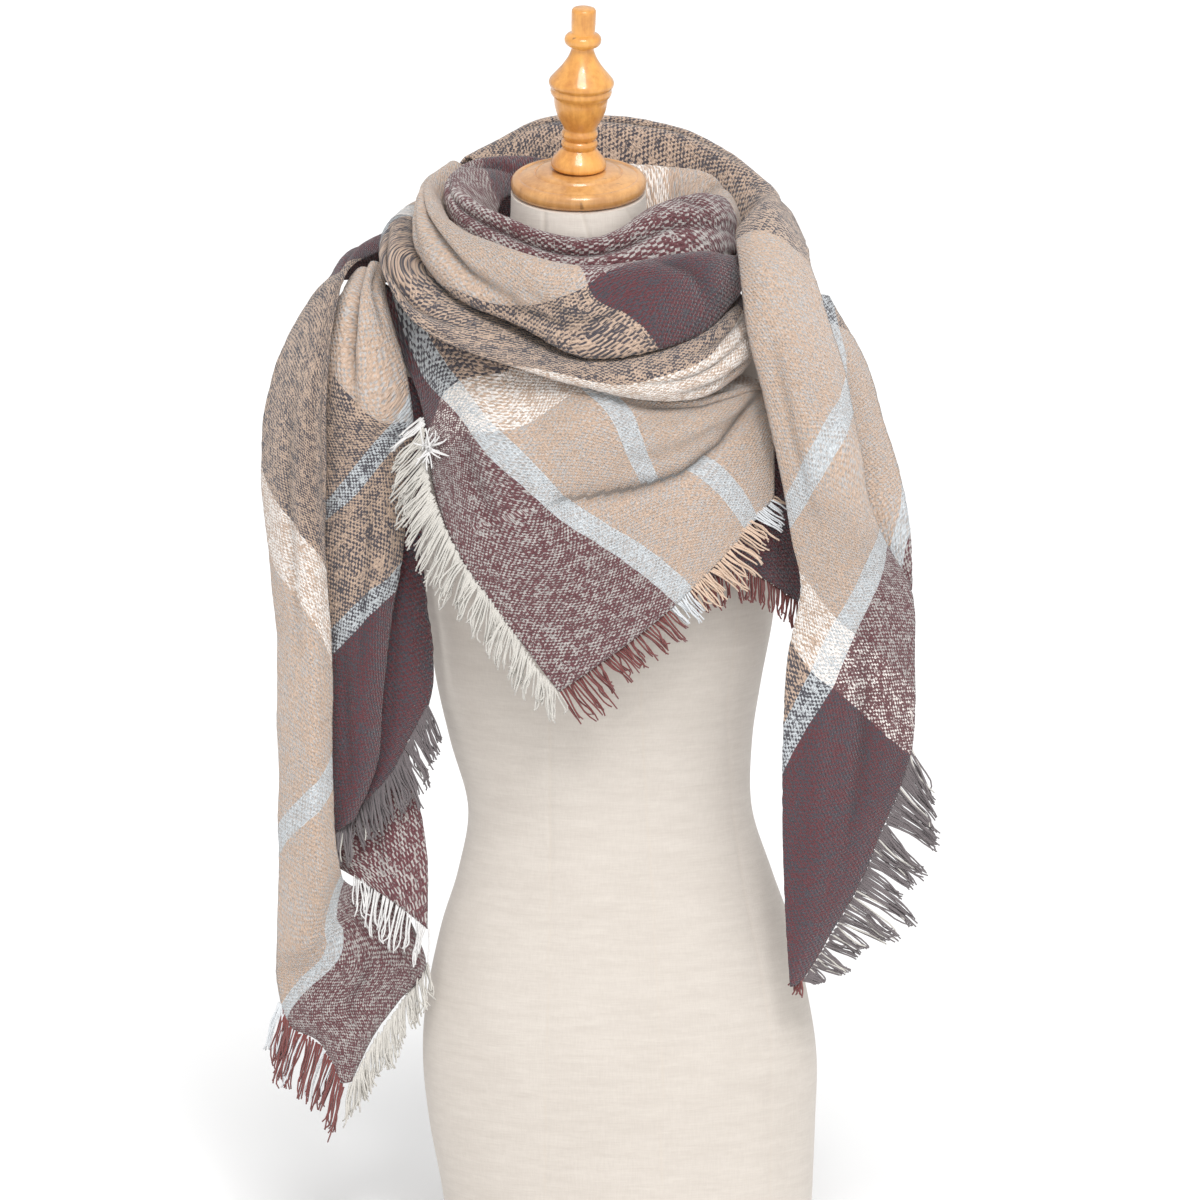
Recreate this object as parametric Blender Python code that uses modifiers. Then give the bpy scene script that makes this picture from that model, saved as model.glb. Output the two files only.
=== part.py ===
"""Blanket scarf, wound on and standing with a table-top dress form.

Metres, +Z up, the front faces -Y and the wearer's left is +X. The origin is the
centre of the form's flat underside. Every cloth stretch is a wall worked out from
a short table of sections: each section gives one edge, the middle and the other
edge as (x, forward, z) in millimetres, forward being the distance towards -Y.
"""
import math

import bmesh
import bpy
from mathutils import Vector

CLOTH_WALL = 0.0024
FRINGE_WALL = 0.0016
NECK_TILT = math.radians(13.0)
FINIAL_LEAN = math.radians(2.0)
CAP_CENTRE = (-0.033, -0.012, 0.867)
TORSO_SIDES = 36
TURNED_STEPS = 24

for old in list(bpy.data.objects):
    bpy.data.objects.remove(old, do_unlink=True)
collection = bpy.data.collections.new("blanket_scarf")
bpy.context.scene.collection.children.link(collection)


# ---------------------------------------------------------------- materials
def material(name, colour, roughness, metallic=0.0):
    made = bpy.data.materials.new(name)
    made.use_nodes = True
    shader = made.node_tree.nodes["Principled BSDF"]
    shader.inputs["Base Color"].default_value = (*colour, 1.0)
    shader.inputs["Roughness"].default_value = roughness
    shader.inputs["Metallic"].default_value = metallic
    return made


LINEN = material("form_linen", (0.76, 0.70, 0.61), 0.85)
WOOD = material("turned_wood", (0.62, 0.33, 0.11), 0.32)
WOOD_CAP = material("cap_wood", (0.64, 0.34, 0.11), 0.34)
MELANGE = material("maroon_white_weave", (0.26, 0.16, 0.17), 0.95)
BEIGE = material("beige_weave", (0.55, 0.46, 0.38), 0.95)
BROWN = material("brown_weave", (0.24, 0.19, 0.17), 0.95)
MAROON = material("dark_maroon_weave", (0.10, 0.055, 0.065), 0.95)
MAROON_YARN = material("maroon_yarn", (0.16, 0.035, 0.03), 0.95)
GREY_YARN = material("pale_grey_yarn", (0.58, 0.58, 0.55), 0.95)
PEACH_YARN = material("peach_yarn", (0.72, 0.50, 0.34), 0.95)
CHARCOAL_YARN = material("charcoal_yarn", (0.14, 0.12, 0.12), 0.95)


# ------------------------------------------------------------------ helpers
def between(a, b, c, d, t):
    """The smooth curve from b to c, with a and d as the neighbours on each side."""
    return tuple(
        0.5 * (2 * q + (r - p) * t + (2 * p - 5 * q + 4 * r - s) * t * t
               + (3 * q - p - 3 * r + s) * t ** 3)
        for p, q, r, s in zip(a, b, c, d)
    )


def resample(rows, steps, closed=False):
    """Rows of numbers read at even steps along a smooth curve through them."""
    count = len(rows)
    spans = count if closed else count - 1
    made = []
    for i in range(steps if closed else steps + 1):
        place = spans * i / steps
        k = min(int(place), spans - 1)
        t = place - k
        if closed:
            near = [rows[(k + j) % count] for j in (-1, 0, 1, 2)]
        else:
            near = [rows[min(max(k + j, 0), count - 1)] for j in (-1, 0, 1, 2)]
        made.append(between(*near, t))
    return made


def section_point(row, s, roundness):
    """A point across one section: s runs from 0 at its first edge to 1 at its last."""
    first, middle, last = Vector(row[0:3]), Vector(row[3:6]), Vector(row[6:9])
    centre = (first + last) / 2
    flat = first.lerp(last, s) + (middle - centre) * math.sin(math.pi * s)
    arch = centre + (first - centre) * math.cos(math.pi * s) + (middle - centre) * math.sin(math.pi * s)
    point = flat.lerp(arch, roundness)
    return Vector((point.x, -point.y, point.z)) / 1000


def to_object(name, mesh_tool, slot):
    mesh = bpy.data.meshes.new(name)
    mesh_tool.to_mesh(mesh)
    mesh_tool.free()
    mesh.materials.append(slot)
    made = bpy.data.objects.new(name, mesh)
    collection.objects.link(made)
    return made


def stretch(name, rows, slot, along, across, roundness=0.0, closed=False, wall=CLOTH_WALL):
    """A cloth wall through its sections, thickened evenly on both sides."""
    tool = bmesh.new()
    lines = [
        [tool.verts.new(section_point(row, j / across, roundness)) for j in range(across + 1)]
        for row in resample(rows, along, closed)
    ]
    pairs = list(zip(lines, lines[1:] + lines[:1])) if closed else list(zip(lines, lines[1:]))
    for one, two in pairs:
        for j in range(across):
            tool.faces.new((one[j], one[j + 1], two[j + 1], two[j]))
    made = to_object(name, tool, slot)
    shell = made.modifiers.new("wall", "SOLIDIFY")
    shell.thickness = wall
    shell.offset = 0.0
    shell.use_even_offset = False
    return made


def turned(name, profile, slot, centre, tilt, lean):
    """A turned solid from its profile of (radius, height) in millimetres."""
    tool = bmesh.new()
    points = [tool.verts.new((r / 1000, 0, h / 1000)) for r, h in profile]
    for one, two in zip(points, points[1:]):
        tool.edges.new((one, two))
    made = to_object(name, tool, slot)
    made.location = centre
    made.rotation_euler = (tilt, lean, 0)
    screw = made.modifiers.new("turned", "SCREW")
    screw.axis = "Z"
    screw.steps = TURNED_STEPS
    screw.render_steps = TURNED_STEPS
    screw.use_merge_vertices = True
    screw.merge_threshold = 0.0001
    screw.use_normal_calculate = True
    return made


# --------------------------------------------------------------- dress form
# Padded linen form, limbless: a flat underside, waist, bust, sloping shoulders and a
# neck cut on the slant. half = half width, front and back = depth each side of the
# middle, forward = how far the middle sits forward, tilt = degrees the ring dips.
TORSO_ROWS = [
    # z, x, forward, half, front, back, tilt
    (0, 8, 0, 146, 92, 108, 0),
    (50, 6, 0, 150, 94, 112, 0),
    (105, 2, 0, 156, 97, 116, 0),
    (157, 0, 0, 159, 98, 118, 0),
    (206, -2, 0, 154, 95, 114, 0),
    (265, -3, 0, 141, 88, 101, 0),
    (311, -4, 0, 126, 82, 86, 0),
    (362, -8, 0, 114, 79, 76, 0),
    (416, -15, 0, 121, 86, 76, 0),
    (465, -17, 0, 130, 98, 80, 0),
    (514, -16, 0, 138, 108, 84, 0),
    (560, -18, 0, 145, 112, 88, 0),
    (610, -21, 0, 149, 106, 91, 0),
    (660, -24, 0, 156, 92, 90, 0),
    (705, -27, 0, 163, 76, 84, 0),
    (738, -29, 0, 161, 63, 74, 0),
    (758, -30, 1, 146, 56, 66, 0),
    (774, -31, 2, 118, 52, 61, 2),
    (788, -32, 4, 88, 50, 58, 4),
    (802, -32, 6, 66, 51, 56, 7),
    (820, -33, 8, 56, 53, 54, 10),
    (840, -33, 10, 54, 54, 54, 13),
    (859, -33, 11, 53.5, 53.5, 53.5, 13),
]


def torso_ring(tool, row):
    z, x, forward, half, front, back, tilt = row
    ring = []
    for i in range(TORSO_SIDES):
        angle = 2 * math.pi * i / TORSO_SIDES
        depth = front if math.sin(angle) > 0 else back
        out = depth * math.sin(angle)
        dip = out * math.tan(math.radians(tilt))
        ring.append(tool.verts.new(((x + half * math.cos(angle)) / 1000, -(forward + out) / 1000, (z - dip) / 1000)))
    return ring


tool = bmesh.new()
rings = [torso_ring(tool, row) for row in TORSO_ROWS]
for low, high in zip(rings, rings[1:]):
    for i in range(TORSO_SIDES):
        j = (i + 1) % TORSO_SIDES
        tool.faces.new((low[j], low[i], high[i], high[j]))
tool.faces.new(rings[0])
tool.faces.new(rings[-1][::-1])
bmesh.ops.recalc_face_normals(tool, faces=tool.faces)
to_object("form_torso", tool, LINEN)

# Neck cap and finial: light hardwood turned in two pieces, standing square on the
# slanted neck. Both profiles run from the axis at the bottom to the axis at the top.
CAP_PROFILE = [
    (0, -7), (50, -7), (52.6, -5.5), (53.6, -2), (53.2, 2), (51, 4.6), (47.5, 5.4), (46.2, 4.8),
    (45, 5.6), (35, 8.2), (33.6, 7.8), (32.4, 9.6), (24, 10.8), (0, 10.8),
]
turned("form_neck_cap", CAP_PROFILE, WOOD_CAP, CAP_CENTRE, NECK_TILT, 0)

FINIAL_PROFILE = [
    (0, 0), (20.5, 0), (21.8, 1.9), (21.4, 5.6), (18.2, 10.3), (15.4, 14), (13.0, 16.4), (14.2, 19.2), (14.0, 22),
    (12.3, 23.9), (14.0, 26.2), (14.2, 29), (12.9, 31.8), (13.2, 33.7), (15.6, 38.3), (18.4, 43.9), (20.6, 51.4),
    (21.6, 58.9), (23.4, 60.8), (24.2, 63.6), (23.6, 66.4), (25.4, 68.3), (25.8, 71.1), (24.0, 74.3), (18.8, 80.4),
    (13.8, 87), (10.6, 92.6), (8.8, 98.2), (8.8, 100), (12.2, 101.4), (14.5, 104.7), (14.3, 107.5), (12.0, 110),
    (9.5, 110.9), (9.6, 129), (8.8, 131.3), (0, 131.6),
]
STEP_UP = 12.1
FINIAL_BASE = (
    CAP_CENTRE[0],
    CAP_CENTRE[1] - math.sin(NECK_TILT) * STEP_UP / 1000,
    CAP_CENTRE[2] + math.cos(NECK_TILT) * STEP_UP / 1000,
)
turned("form_finial", FINIAL_PROFILE, WOOD, FINIAL_BASE, NECK_TILT, FINIAL_LEAN)

# ------------------------------------------------------------------- scarf
# Collar roll: the innermost turn, a soft arch open underneath that circles the neck.
# One section at each place round the neck, from its inner skirt over the top and out.
NECK_ROLL = [
    (-26, 67, 800, -25, 84, 826, -24, 103, 799),
    (-78, 52, 818, -94, 64, 843, -95, 78, 811),
    (-98, 10, 836, -130, 10, 863, -135, 14, 838),
    (-86, -32, 852, -106, -40, 880, -119, -50, 856),
    (-34, -58, 845, -34, -73, 874, -34, -88, 850),
    (38, -38, 836, 58, -50, 869, 70, -52, 842),
    (60, -12, 820, 84, -17, 852, 94, -16, 816),
    (46, 22, 826, 72, 25, 857, 82, 40, 806),
    (18, 50, 820, 36, 52, 853, 52, 80, 802),
]
stretch("scarf_neck_roll", NECK_ROLL, MELANGE, 34, 6, roundness=0.8, closed=True)

# Upper and lower cowl folds: two garlands of the same cloth slung from shoulder to
# shoulder, each tucked under the one above. Sections run from the viewer's left.
COWL_UPPER = [
    (-117, -58, 840, -131, -68, 874, -142, -68, 852),
    (-131, -26, 826, -148, -28, 864, -158, -26, 846),
    (-132, 6, 818, -151, 8, 860, -162, 10, 840),
    (-122, 46, 804, -144, 58, 848, -158, 52, 814),
    (-98, 80, 788, -118, 102, 834, -127, 101, 786),
    (-62, 98, 780, -77, 132, 823, -78, 131, 766),
    (-24, 102, 776, -28, 148, 812, -28, 152, 745),
    (20, 98, 778, 28, 140, 818, 23, 146, 749),
    (56, 80, 782, 70, 112, 820, 65, 114, 760),
    (78, 46, 784, 90, 66, 813, 91, 67, 782),
    (88, 6, 790, 97, 16, 812, 99, 16, 795),
]
stretch("scarf_cowl_upper", COWL_UPPER, BROWN, 22, 6, roundness=0.75)

COWL_LOWER = [
    (-146, -50, 834, -163, -52, 844, -160, -48, 834),
    (-156, -22, 828, -176, -20, 839, -177, -15, 816),
    (-160, 6, 816, -183, 12, 828, -187, 22, 800),
    (-143, 44, 800, -181, 60, 804, -174, 76, 788),
    (-112, 78, 784, -150, 112, 773, -147, 116, 762),
    (-74, 100, 764, -88, 140, 750, -92, 149, 741),
    (-26, 118, 744, -28, 154, 738, -28, 162, 723),
    (21, 116, 748, 23, 160, 736, 23, 160, 713),
    (58, 94, 758, 64, 146, 744, 62, 143, 713),
    (84, 54, 772, 92, 116, 758, 92, 113, 725),
    (92, 12, 780, 104, 84, 766, 107, 85, 741),
]
stretch("scarf_cowl_lower", COWL_LOWER, BROWN, 22, 6, roundness=0.75)

# Front panel: the corner of the square hanging on the chest. Sections lie along the
# cloth, from the fringed edge at the lower right up to the fold under the cowl.
FRONT_PANEL = [
    (-48, 143, 480, 43, 158, 552, 120, 120, 630),
    (-76, 146, 518, 23, 162, 584, 120, 114, 662),
    (-109, 144, 562, 0, 163, 620, 120, 108, 694),
    (-133, 132, 600, -12, 160, 646, 121, 104, 708),
    (-146, 112, 638, -16, 164, 672, 121, 102, 716),
    (-151, 98, 676, -16, 164, 694, 118, 98, 718),
    (-158, 78, 704, -18, 158, 708, 112, 90, 718),
    (-171, 57, 733, -21, 151, 718, 106, 80, 718),
    (-188, 14, 787, -24, 136, 732, 98, 74, 720),
]
stretch("scarf_front_panel", FRONT_PANEL, BEIGE, 18, 10)

# Second layer of the folded square, showing below the panel on the viewer's right.
FRONT_SECOND = [
    (54, 132, 559, 95, 110, 570, 140, 74, 540),
    (47, 130, 614, 98, 106, 622, 150, 70, 597),
    (39, 128, 677, 90, 100, 686, 151, 66, 668),
    (31, 108, 706, 84, 82, 710, 146, 58, 712),
]
stretch("scarf_front_second", FRONT_SECOND, MAROON, 8, 6)

# Right end: leaves the cowl on the viewer's left, passes behind the neck as a roll,
# comes over the far shoulder and hangs flat in front, narrowing to a point.
RIGHT_TAIL = [
    (-112, -64, 860, -122, -74, 878, -136, -80, 852),
    (-60, -94, 872, -65, -112, 905, -72, -134, 868),
    (-20, -102, 870, -16, -124, 907, -14, -148, 866),
    (32, -94, 862, 41, -112, 900, 52, -136, 856),
    (76, -66, 846, 89, -78, 880, 108, -98, 838),
    (100, -12, 824, 121, -30, 855, 142, -38, 818),
    (91, 54, 831, 118, 40, 848, 147, 8, 816),
    (93, 100, 808, 121, 106, 814, 151, 70, 800),
    (98, 128, 764, 132, 136, 766, 167, 100, 752),
    (113, 138, 702, 147, 143, 703, 183, 108, 691),
    (127, 138, 639, 160, 139, 639, 192, 106, 635),
    (134, 134, 598, 174, 131, 598, 207, 106, 594),
    (141, 130, 558, 186, 122, 557, 229, 98, 553),
    (131, 118, 501, 184, 112, 500, 232, 95, 497),
    (128, 112, 436, 180, 105, 435, 231, 90, 432),
    (128, 106, 372, 173, 100, 371, 217, 86, 384),
    (130, 102, 307, 161, 98, 310, 191, 84, 320),
    (133, 100, 259, 148, 96, 262, 163, 86, 268),
    (135, 98, 235, 140, 95, 236, 145, 90, 239),
]
stretch("scarf_right_tail", RIGHT_TAIL, BEIGE, 42, 6, roundness=0.2)

# Edge of the right end turned behind itself, showing past its outer side.
RIGHT_FOLD = [
    (139, 60, 778, 153, 50, 781, 164, 35, 778),
    (142, 84, 754, 163, 76, 754, 181, 50, 752),
    (151, 98, 720, 176, 88, 718, 198, 62, 716),
    (157, 102, 681, 184, 94, 679, 209, 70, 677),
    (163, 102, 637, 193, 94, 635, 222, 76, 634),
    (169, 98, 593, 200, 92, 592, 229, 80, 590),
    (173, 92, 552, 203, 88, 552, 230, 80, 551),
]
stretch("scarf_right_tail_fold", RIGHT_FOLD, BEIGE, 12, 5)

# Left end: crosses low behind the neck, comes over the near shoulder and hangs in a
# long rounded column that opens into a fringed corner at its foot.
LEFT_TAIL = [
    (72, -104, 792, 76, -114, 822, 70, -106, 840),
    (-20, -122, 780, -18, -138, 812, -18, -132, 846),
    (-110, -96, 782, -106, -112, 812, -98, -106, 842),
    (-180, -50, 780, -168, -56, 816, -144, -64, 838),
    (-220, -14, 786, -207, -14, 815, -186, -16, 812),
    (-235, 18, 783, -225, 22, 796, -214, 12, 799),
    (-255, 30, 759, -237, 55, 779, -223, 62, 776),
    (-275, 45, 714, -251, 84, 719, -231, 84, 719),
    (-283, 52, 651, -256, 97, 657, -231, 92, 656),
    (-278, 50, 578, -254, 97, 585, -231, 92, 584),
    (-272, 46, 497, -250, 92, 504, -228, 88, 503),
    (-272, 42, 408, -250, 86, 415, -228, 82, 415),
    (-272, 38, 327, -248, 80, 334, -225, 76, 334),
    (-273, 36, 262, -245, 70, 273, -217, 56, 296),
    (-274, 35, 243, -231, 59, 262, -188, 38, 308),
    (-274, 35, 225, -217, 50, 241, -156, 36, 244),
    (-266, 38, 192, -226, 50, 208, -177, 38, 212),
    (-240, 42, 178, -218, 50, 183, -197, 40, 184),
    (-224, 48, 146, -220, 50, 146, -215, 48, 147),
]
stretch("scarf_left_tail", LEFT_TAIL, BEIGE, 40, 6, roundness=0.35)

# Inner column of the left end, then the strip and the short layer behind it.
LEFT_INNER = [
    (-217, -1, 784, -202, 10, 802, -187, 5, 798),
    (-224, 40, 772, -203, 60, 786, -184, 50, 774),
    (-234, 56, 739, -202, 82, 743, -174, 67, 740),
    (-237, 66, 692, -200, 90, 696, -164, 74, 694),
    (-238, 70, 637, -202, 90, 640, -167, 76, 638),
    (-238, 70, 573, -205, 88, 576, -173, 74, 574),
    (-236, 66, 509, -210, 82, 511, -184, 70, 509),
    (-235, 62, 452, -212, 76, 454, -189, 66, 456),
    (-234, 60, 403, -213, 70, 406, -193, 60, 411),
    (-228, 58, 351, -220, 62, 357, -211, 58, 363),
]
stretch("scarf_left_inner", LEFT_INNER, BROWN, 20, 6, roundness=0.25)

LEFT_STRIP = [
    (-176, 46, 716, -162, 58, 717, -146, 62, 716),
    (-180, 47, 678, -163, 58, 679, -147, 66, 678),
    (-183, 48, 640, -172, 55, 641, -155, 56, 640),
    (-186, 50, 594, -174, 57, 595, -158, 51, 594),
    (-194, 50, 538, -174, 60, 540, -154, 50, 538),
    (-197, 48, 497, -173, 58, 499, -149, 46, 499),
    (-202, 46, 457, -176, 54, 458, -151, 44, 459),
    (-207, 44, 416, -186, 50, 421, -167, 44, 428),
    (-213, 44, 384, -198, 48, 389, -184, 44, 396),
    (-219, 44, 364, -213, 46, 367, -206, 44, 372),
]
stretch("scarf_left_strip", LEFT_STRIP, MAROON, 10, 4)

LEFT_SHORT = [
    (-207, 30, 422, -187, 36, 421, -171, 32, 418),
    (-219, 34, 374, -187, 42, 376, -161, 38, 374),
    (-221, 40, 335, -187, 50, 332, -154, 44, 326),
    (-219, 48, 321, -184, 56, 298, -154, 50, 272),
]
stretch("scarf_left_short", LEFT_SHORT, MELANGE, 8, 5)

# Fringes: the plain solid each one reaches, base edge first and tips last.
FRINGES = {
    "fringe_front_left": (GREY_YARN, [
        (-160, 96, 690, -168, 98, 682, -177, 100, 674),
        (-152, 118, 632, -162, 118, 616, -170, 117, 598),
        (-129, 138, 582, -134, 138, 567, -137, 137, 551),
        (-101, 147, 543, -102, 147, 528, -103, 146, 512),
        (-71, 146, 498, -72, 146, 486, -73, 145, 473),
        (-54, 144, 478, -49, 144, 467, -44, 143, 457),
    ]),
    "fringe_front_right": (MAROON_YARN, [
        (-46, 143, 477, -37, 144, 464, -27, 143, 452),
        (0, 153, 512, 8, 153, 503, 16, 152, 494),
        (44, 158, 548, 51, 157, 541, 58, 155, 533),
        (81, 147, 582, 90, 146, 574, 100, 144, 565),
        (102, 134, 608, 111, 132, 602, 121, 130, 595),
        (122, 119, 629, 127, 118, 627, 133, 117, 624),
    ]),
    "fringe_second": (MAROON_YARN, [
        (56, 132, 556, 58, 132, 547, 60, 131, 538),
        (95, 110, 566, 96, 110, 556, 98, 109, 546),
        (138, 75, 537, 138, 75, 529, 137, 75, 521),
    ]),
    "fringe_left_foot": (MAROON_YARN, [
        (-277, 35, 208, -280, 35, 192, -283, 34, 160),
        (-264, 39, 184, -268, 40, 162, -271, 40, 140),
        (-242, 43, 170, -247, 43, 148, -251, 43, 126),
        (-226, 48, 140, -229, 48, 118, -232, 48, 96),
    ]),
    "fringe_left_side": (GREY_YARN, [
        (-151, 37, 240, -150, 42, 227, -149, 46, 213),
        (-171, 39, 206, -171, 42, 192, -171, 45, 178),
        (-191, 42, 178, -191, 43, 162, -191, 44, 146),
        (-212, 48, 142, -215, 48, 130, -218, 48, 116),
    ]),
    "fringe_left_inner": (CHARCOAL_YARN, [
        (-150, 45, 456, -146, 46, 442, -141, 47, 428),
        (-164, 46, 422, -159, 50, 407, -154, 52, 392),
        (-183, 46, 391, -180, 53, 376, -176, 56, 360),
        (-207, 48, 366, -207, 56, 353, -206, 60, 340),
        (-224, 60, 345, -226, 62, 332, -228, 64, 318),
    ]),
    "fringe_left_short": (GREY_YARN, [
        (-217, 50, 317, -214, 60, 305, -213, 66, 291),
        (-184, 57, 294, -185, 61, 278, -186, 62, 261),
        (-155, 51, 268, -156, 53, 254, -157, 55, 239),
    ]),
    "fringe_right_tail": (CHARCOAL_YARN, [
        (234, 89, 426, 241, 86, 408, 248, 82, 388),
        (221, 85, 380, 233, 82, 366, 246, 78, 352),
        (195, 83, 316, 210, 80, 303, 226, 76, 288),
        (167, 85, 263, 179, 82, 256, 192, 78, 248),
        (148, 89, 235, 151, 88, 233, 154, 87, 231),
    ]),
}
for name, (slot, rows) in FRINGES.items():
    stretch("scarf_" + name, rows, slot, 10, 2, wall=FRINGE_WALL)
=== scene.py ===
import math

import bpy
import numpy as np
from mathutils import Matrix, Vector, noise


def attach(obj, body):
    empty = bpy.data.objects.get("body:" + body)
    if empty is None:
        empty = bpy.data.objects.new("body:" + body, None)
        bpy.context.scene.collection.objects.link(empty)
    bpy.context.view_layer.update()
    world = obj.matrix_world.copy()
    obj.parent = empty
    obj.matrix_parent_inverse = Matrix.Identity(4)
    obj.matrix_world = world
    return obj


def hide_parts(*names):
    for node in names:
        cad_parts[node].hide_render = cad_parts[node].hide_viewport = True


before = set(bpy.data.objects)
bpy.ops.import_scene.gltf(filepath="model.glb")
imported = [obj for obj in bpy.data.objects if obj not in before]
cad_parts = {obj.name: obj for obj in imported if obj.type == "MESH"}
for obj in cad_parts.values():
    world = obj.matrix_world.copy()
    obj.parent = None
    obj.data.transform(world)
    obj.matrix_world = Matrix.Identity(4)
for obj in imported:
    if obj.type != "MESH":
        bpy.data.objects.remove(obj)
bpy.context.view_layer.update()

MM = 1000  # the tables are in millimetres, the scene in metres

# Padded torso of the dress form: foam under one skin of fine natural linen, cut in
# vertical panels whose seams run from neck to base. It stands on its flat underside.
TORSO_ROWS = [
    # z, x, forward, half, front, back, tilt
    (0, 8, 0, 146, 92, 108, 0),
    (50, 6, 0, 150, 94, 112, 0),
    (105, 2, 0, 156, 97, 116, 0),
    (157, 0, 0, 159, 98, 118, 0),
    (206, -2, 0, 154, 95, 114, 0),
    (265, -3, 0, 141, 88, 101, 0),
    (311, -4, 0, 126, 82, 86, 0),
    (362, -8, 0, 114, 79, 76, 0),
    (416, -15, 0, 121, 86, 76, 0),
    (465, -17, 0, 130, 98, 80, 0),
    (514, -16, 0, 138, 108, 84, 0),
    (560, -18, 0, 145, 112, 88, 0),
    (610, -21, 0, 149, 106, 91, 0),
    (660, -24, 0, 156, 92, 90, 0),
    (705, -27, 0, 163, 76, 84, 0),
    (738, -29, 0, 161, 63, 74, 0),
    (758, -30, 1, 146, 56, 66, 0),
    (774, -31, 2, 118, 52, 61, 2),
    (788, -32, 4, 88, 50, 58, 4),
    (802, -32, 6, 66, 51, 56, 7),
    (820, -33, 8, 56, 53, 54, 10),
    (840, -33, 10, 54, 54, 54, 13),
    (859, -33, 11, 53.5, 53.5, 53.5, 13),
]
TORSO_SIDES = 288
TORSO_RINGS = 250
TORSO_CREASE = math.radians(50)
SEAMS = [
    # height, x of the left, middle and right seams
    (0, -60, 33, 121),
    (91, -60, 33, 121),
    (185, -59, 34, 121),
    (239, -57, 30, 113),
    (306, -56, 26, 99),
    (374, -56, 21, 89),
    (455, -56, 17, 85),
    (514, -58, 15, 92),
    (620, -62, 10, 100),
    (740, -60, 0, 60),
    (859, -60, -33, 0),
]
SEAM_DEPTH = 0.9
SEAM_WIDTH = 1.9


def read_rows(rows, places, closed=False):
    """The rows of a table read at any places along a smooth curve through them."""
    table = np.array(rows, float)
    count = len(table)
    k = np.floor(places).astype(int)
    if not closed:
        k = np.clip(k, 0, count - 2)
    t = (places - k)[:, None]
    a, b, c, d = [
        table[(k + j) % count] if closed else table[np.clip(k + j, 0, count - 1)]
        for j in (-1, 0, 1, 2)
    ]
    return 0.5 * (2 * b + (c - a) * t + (2 * a - 5 * b + 4 * c - d) * t ** 2
                  + (3 * b - a - 3 * c + d) * t ** 3)


def place_mesh(name, points, faces, smooth=True):
    """A new object at the origin from points in metres."""
    mesh = bpy.data.meshes.new(name)
    mesh.from_pydata([tuple(p) for p in points], [], faces)
    mesh.update()
    if smooth:
        mesh.shade_smooth()
    made = bpy.data.objects.new(name, mesh)
    bpy.context.scene.collection.objects.link(made)
    return made


class Wire:
    """One shader socket. Sums on it add Math nodes; node() adds any other node."""

    def __init__(self, tree, socket):
        self.tree = tree
        self.socket = socket

    def node(self, kind, settings=None, sockets=None, out=0):
        made = self.tree.nodes.new("ShaderNode" + kind)
        for name, value in (settings or {}).items():
            if name == "stops":
                ramp = made.color_ramp
                while len(ramp.elements) < len(value):
                    ramp.elements.new(0.5)
                for stop, (position, colour) in zip(ramp.elements, value):
                    stop.position = position
                    stop.color = (*colour, 1.0)
            elif name == "interpolation":
                made.color_ramp.interpolation = value
            else:
                setattr(made, name, value)
        for name, value in (sockets or {}).items():
            if isinstance(value, Wire):
                self.tree.links.new(value.socket, made.inputs[name])
            elif value is not None:
                made.inputs[name].default_value = value
        return Wire(self.tree, made.outputs[out])

    def maths(self, operation, *others):
        return self.node("Math", {"operation": operation}, dict(enumerate((self, *others))))

    def __add__(self, other):
        return self.maths("ADD", other)

    def __radd__(self, other):
        return self.maths("ADD", other)

    def __sub__(self, other):
        return self.maths("SUBTRACT", other)

    def __rsub__(self, other):
        return self.node("Math", {"operation": "SUBTRACT"}, {0: other, 1: self})

    def __mul__(self, other):
        return self.maths("MULTIPLY", other)

    def sine(self):
        return self.maths("SINE")

    def above(self, low, high):
        """0 below low and 1 above high, soft between."""
        return self.node("MapRange", {"interpolation_type": "SMOOTHSTEP"}, {0: self, 1: low, 2: high})

    def mix(self, one, two):
        """Colour one where this is 0 and colour two where it is 1. A Mix node takes its
        two colours at sockets 6 and 7 and gives the result at output 2."""
        paint = [value if isinstance(value, Wire) else (*value, 1.0) for value in (one, two)]
        return self.node("Mix", {"data_type": "RGBA"}, {0: self, 6: paint[0], 7: paint[1]}, out=2)

    def tint(self, amount):
        """This colour made lighter or darker by a factor."""
        return self.node("VectorMath", {"operation": "SCALE"}, {0: self, "Scale": amount})

    def speckle(self, scale, detail=2.0, rough=0.5):
        """Soft noise from 0 to 1 on this coordinate."""
        return self.node("TexNoise", {},
                         {"Vector": self, "Scale": scale, "Detail": detail, "Roughness": rough})

    def stretched(self, x, y, z):
        return self.node("VectorMath", {"operation": "MULTIPLY"}, {0: self, 1: (x, y, z)})

    def axis(self, number):
        """One number of this coordinate."""
        return self.node("SeparateXYZ", {}, {0: self}, out=number)

    def place(self):
        """The point's place on its own object, in metres."""
        return self.node("TexCoord", out=3)

    def mark(self, name):
        """A number that the mesh carries at its points."""
        return self.node("Attribute", {"attribute_name": name}, out=2)


def finish(name, roughness, **constants):
    """A new material: its start wire, and a function that links its colour, roughness and bump."""
    made = bpy.data.materials.new(name)
    made.use_nodes = True
    tree = made.node_tree
    shader = tree.nodes["Principled BSDF"]
    shader.inputs["Roughness"].default_value = roughness
    for socket, value in constants.items():
        shader.inputs[socket.replace("_", " ")].default_value = value

    def link(colour, bump=None, distance=0.001, strength=1.0, rough=None):
        tree.links.new(colour.socket, shader.inputs["Base Color"])
        if rough is not None:
            tree.links.new(rough.socket, shader.inputs["Roughness"])
        if bump is not None:
            height = bump.node("Bump", {}, {"Height": bump, "Distance": distance, "Strength": strength})
            tree.links.new(height.socket, shader.inputs["Normal"])

    return made, Wire(tree, None), link


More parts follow.
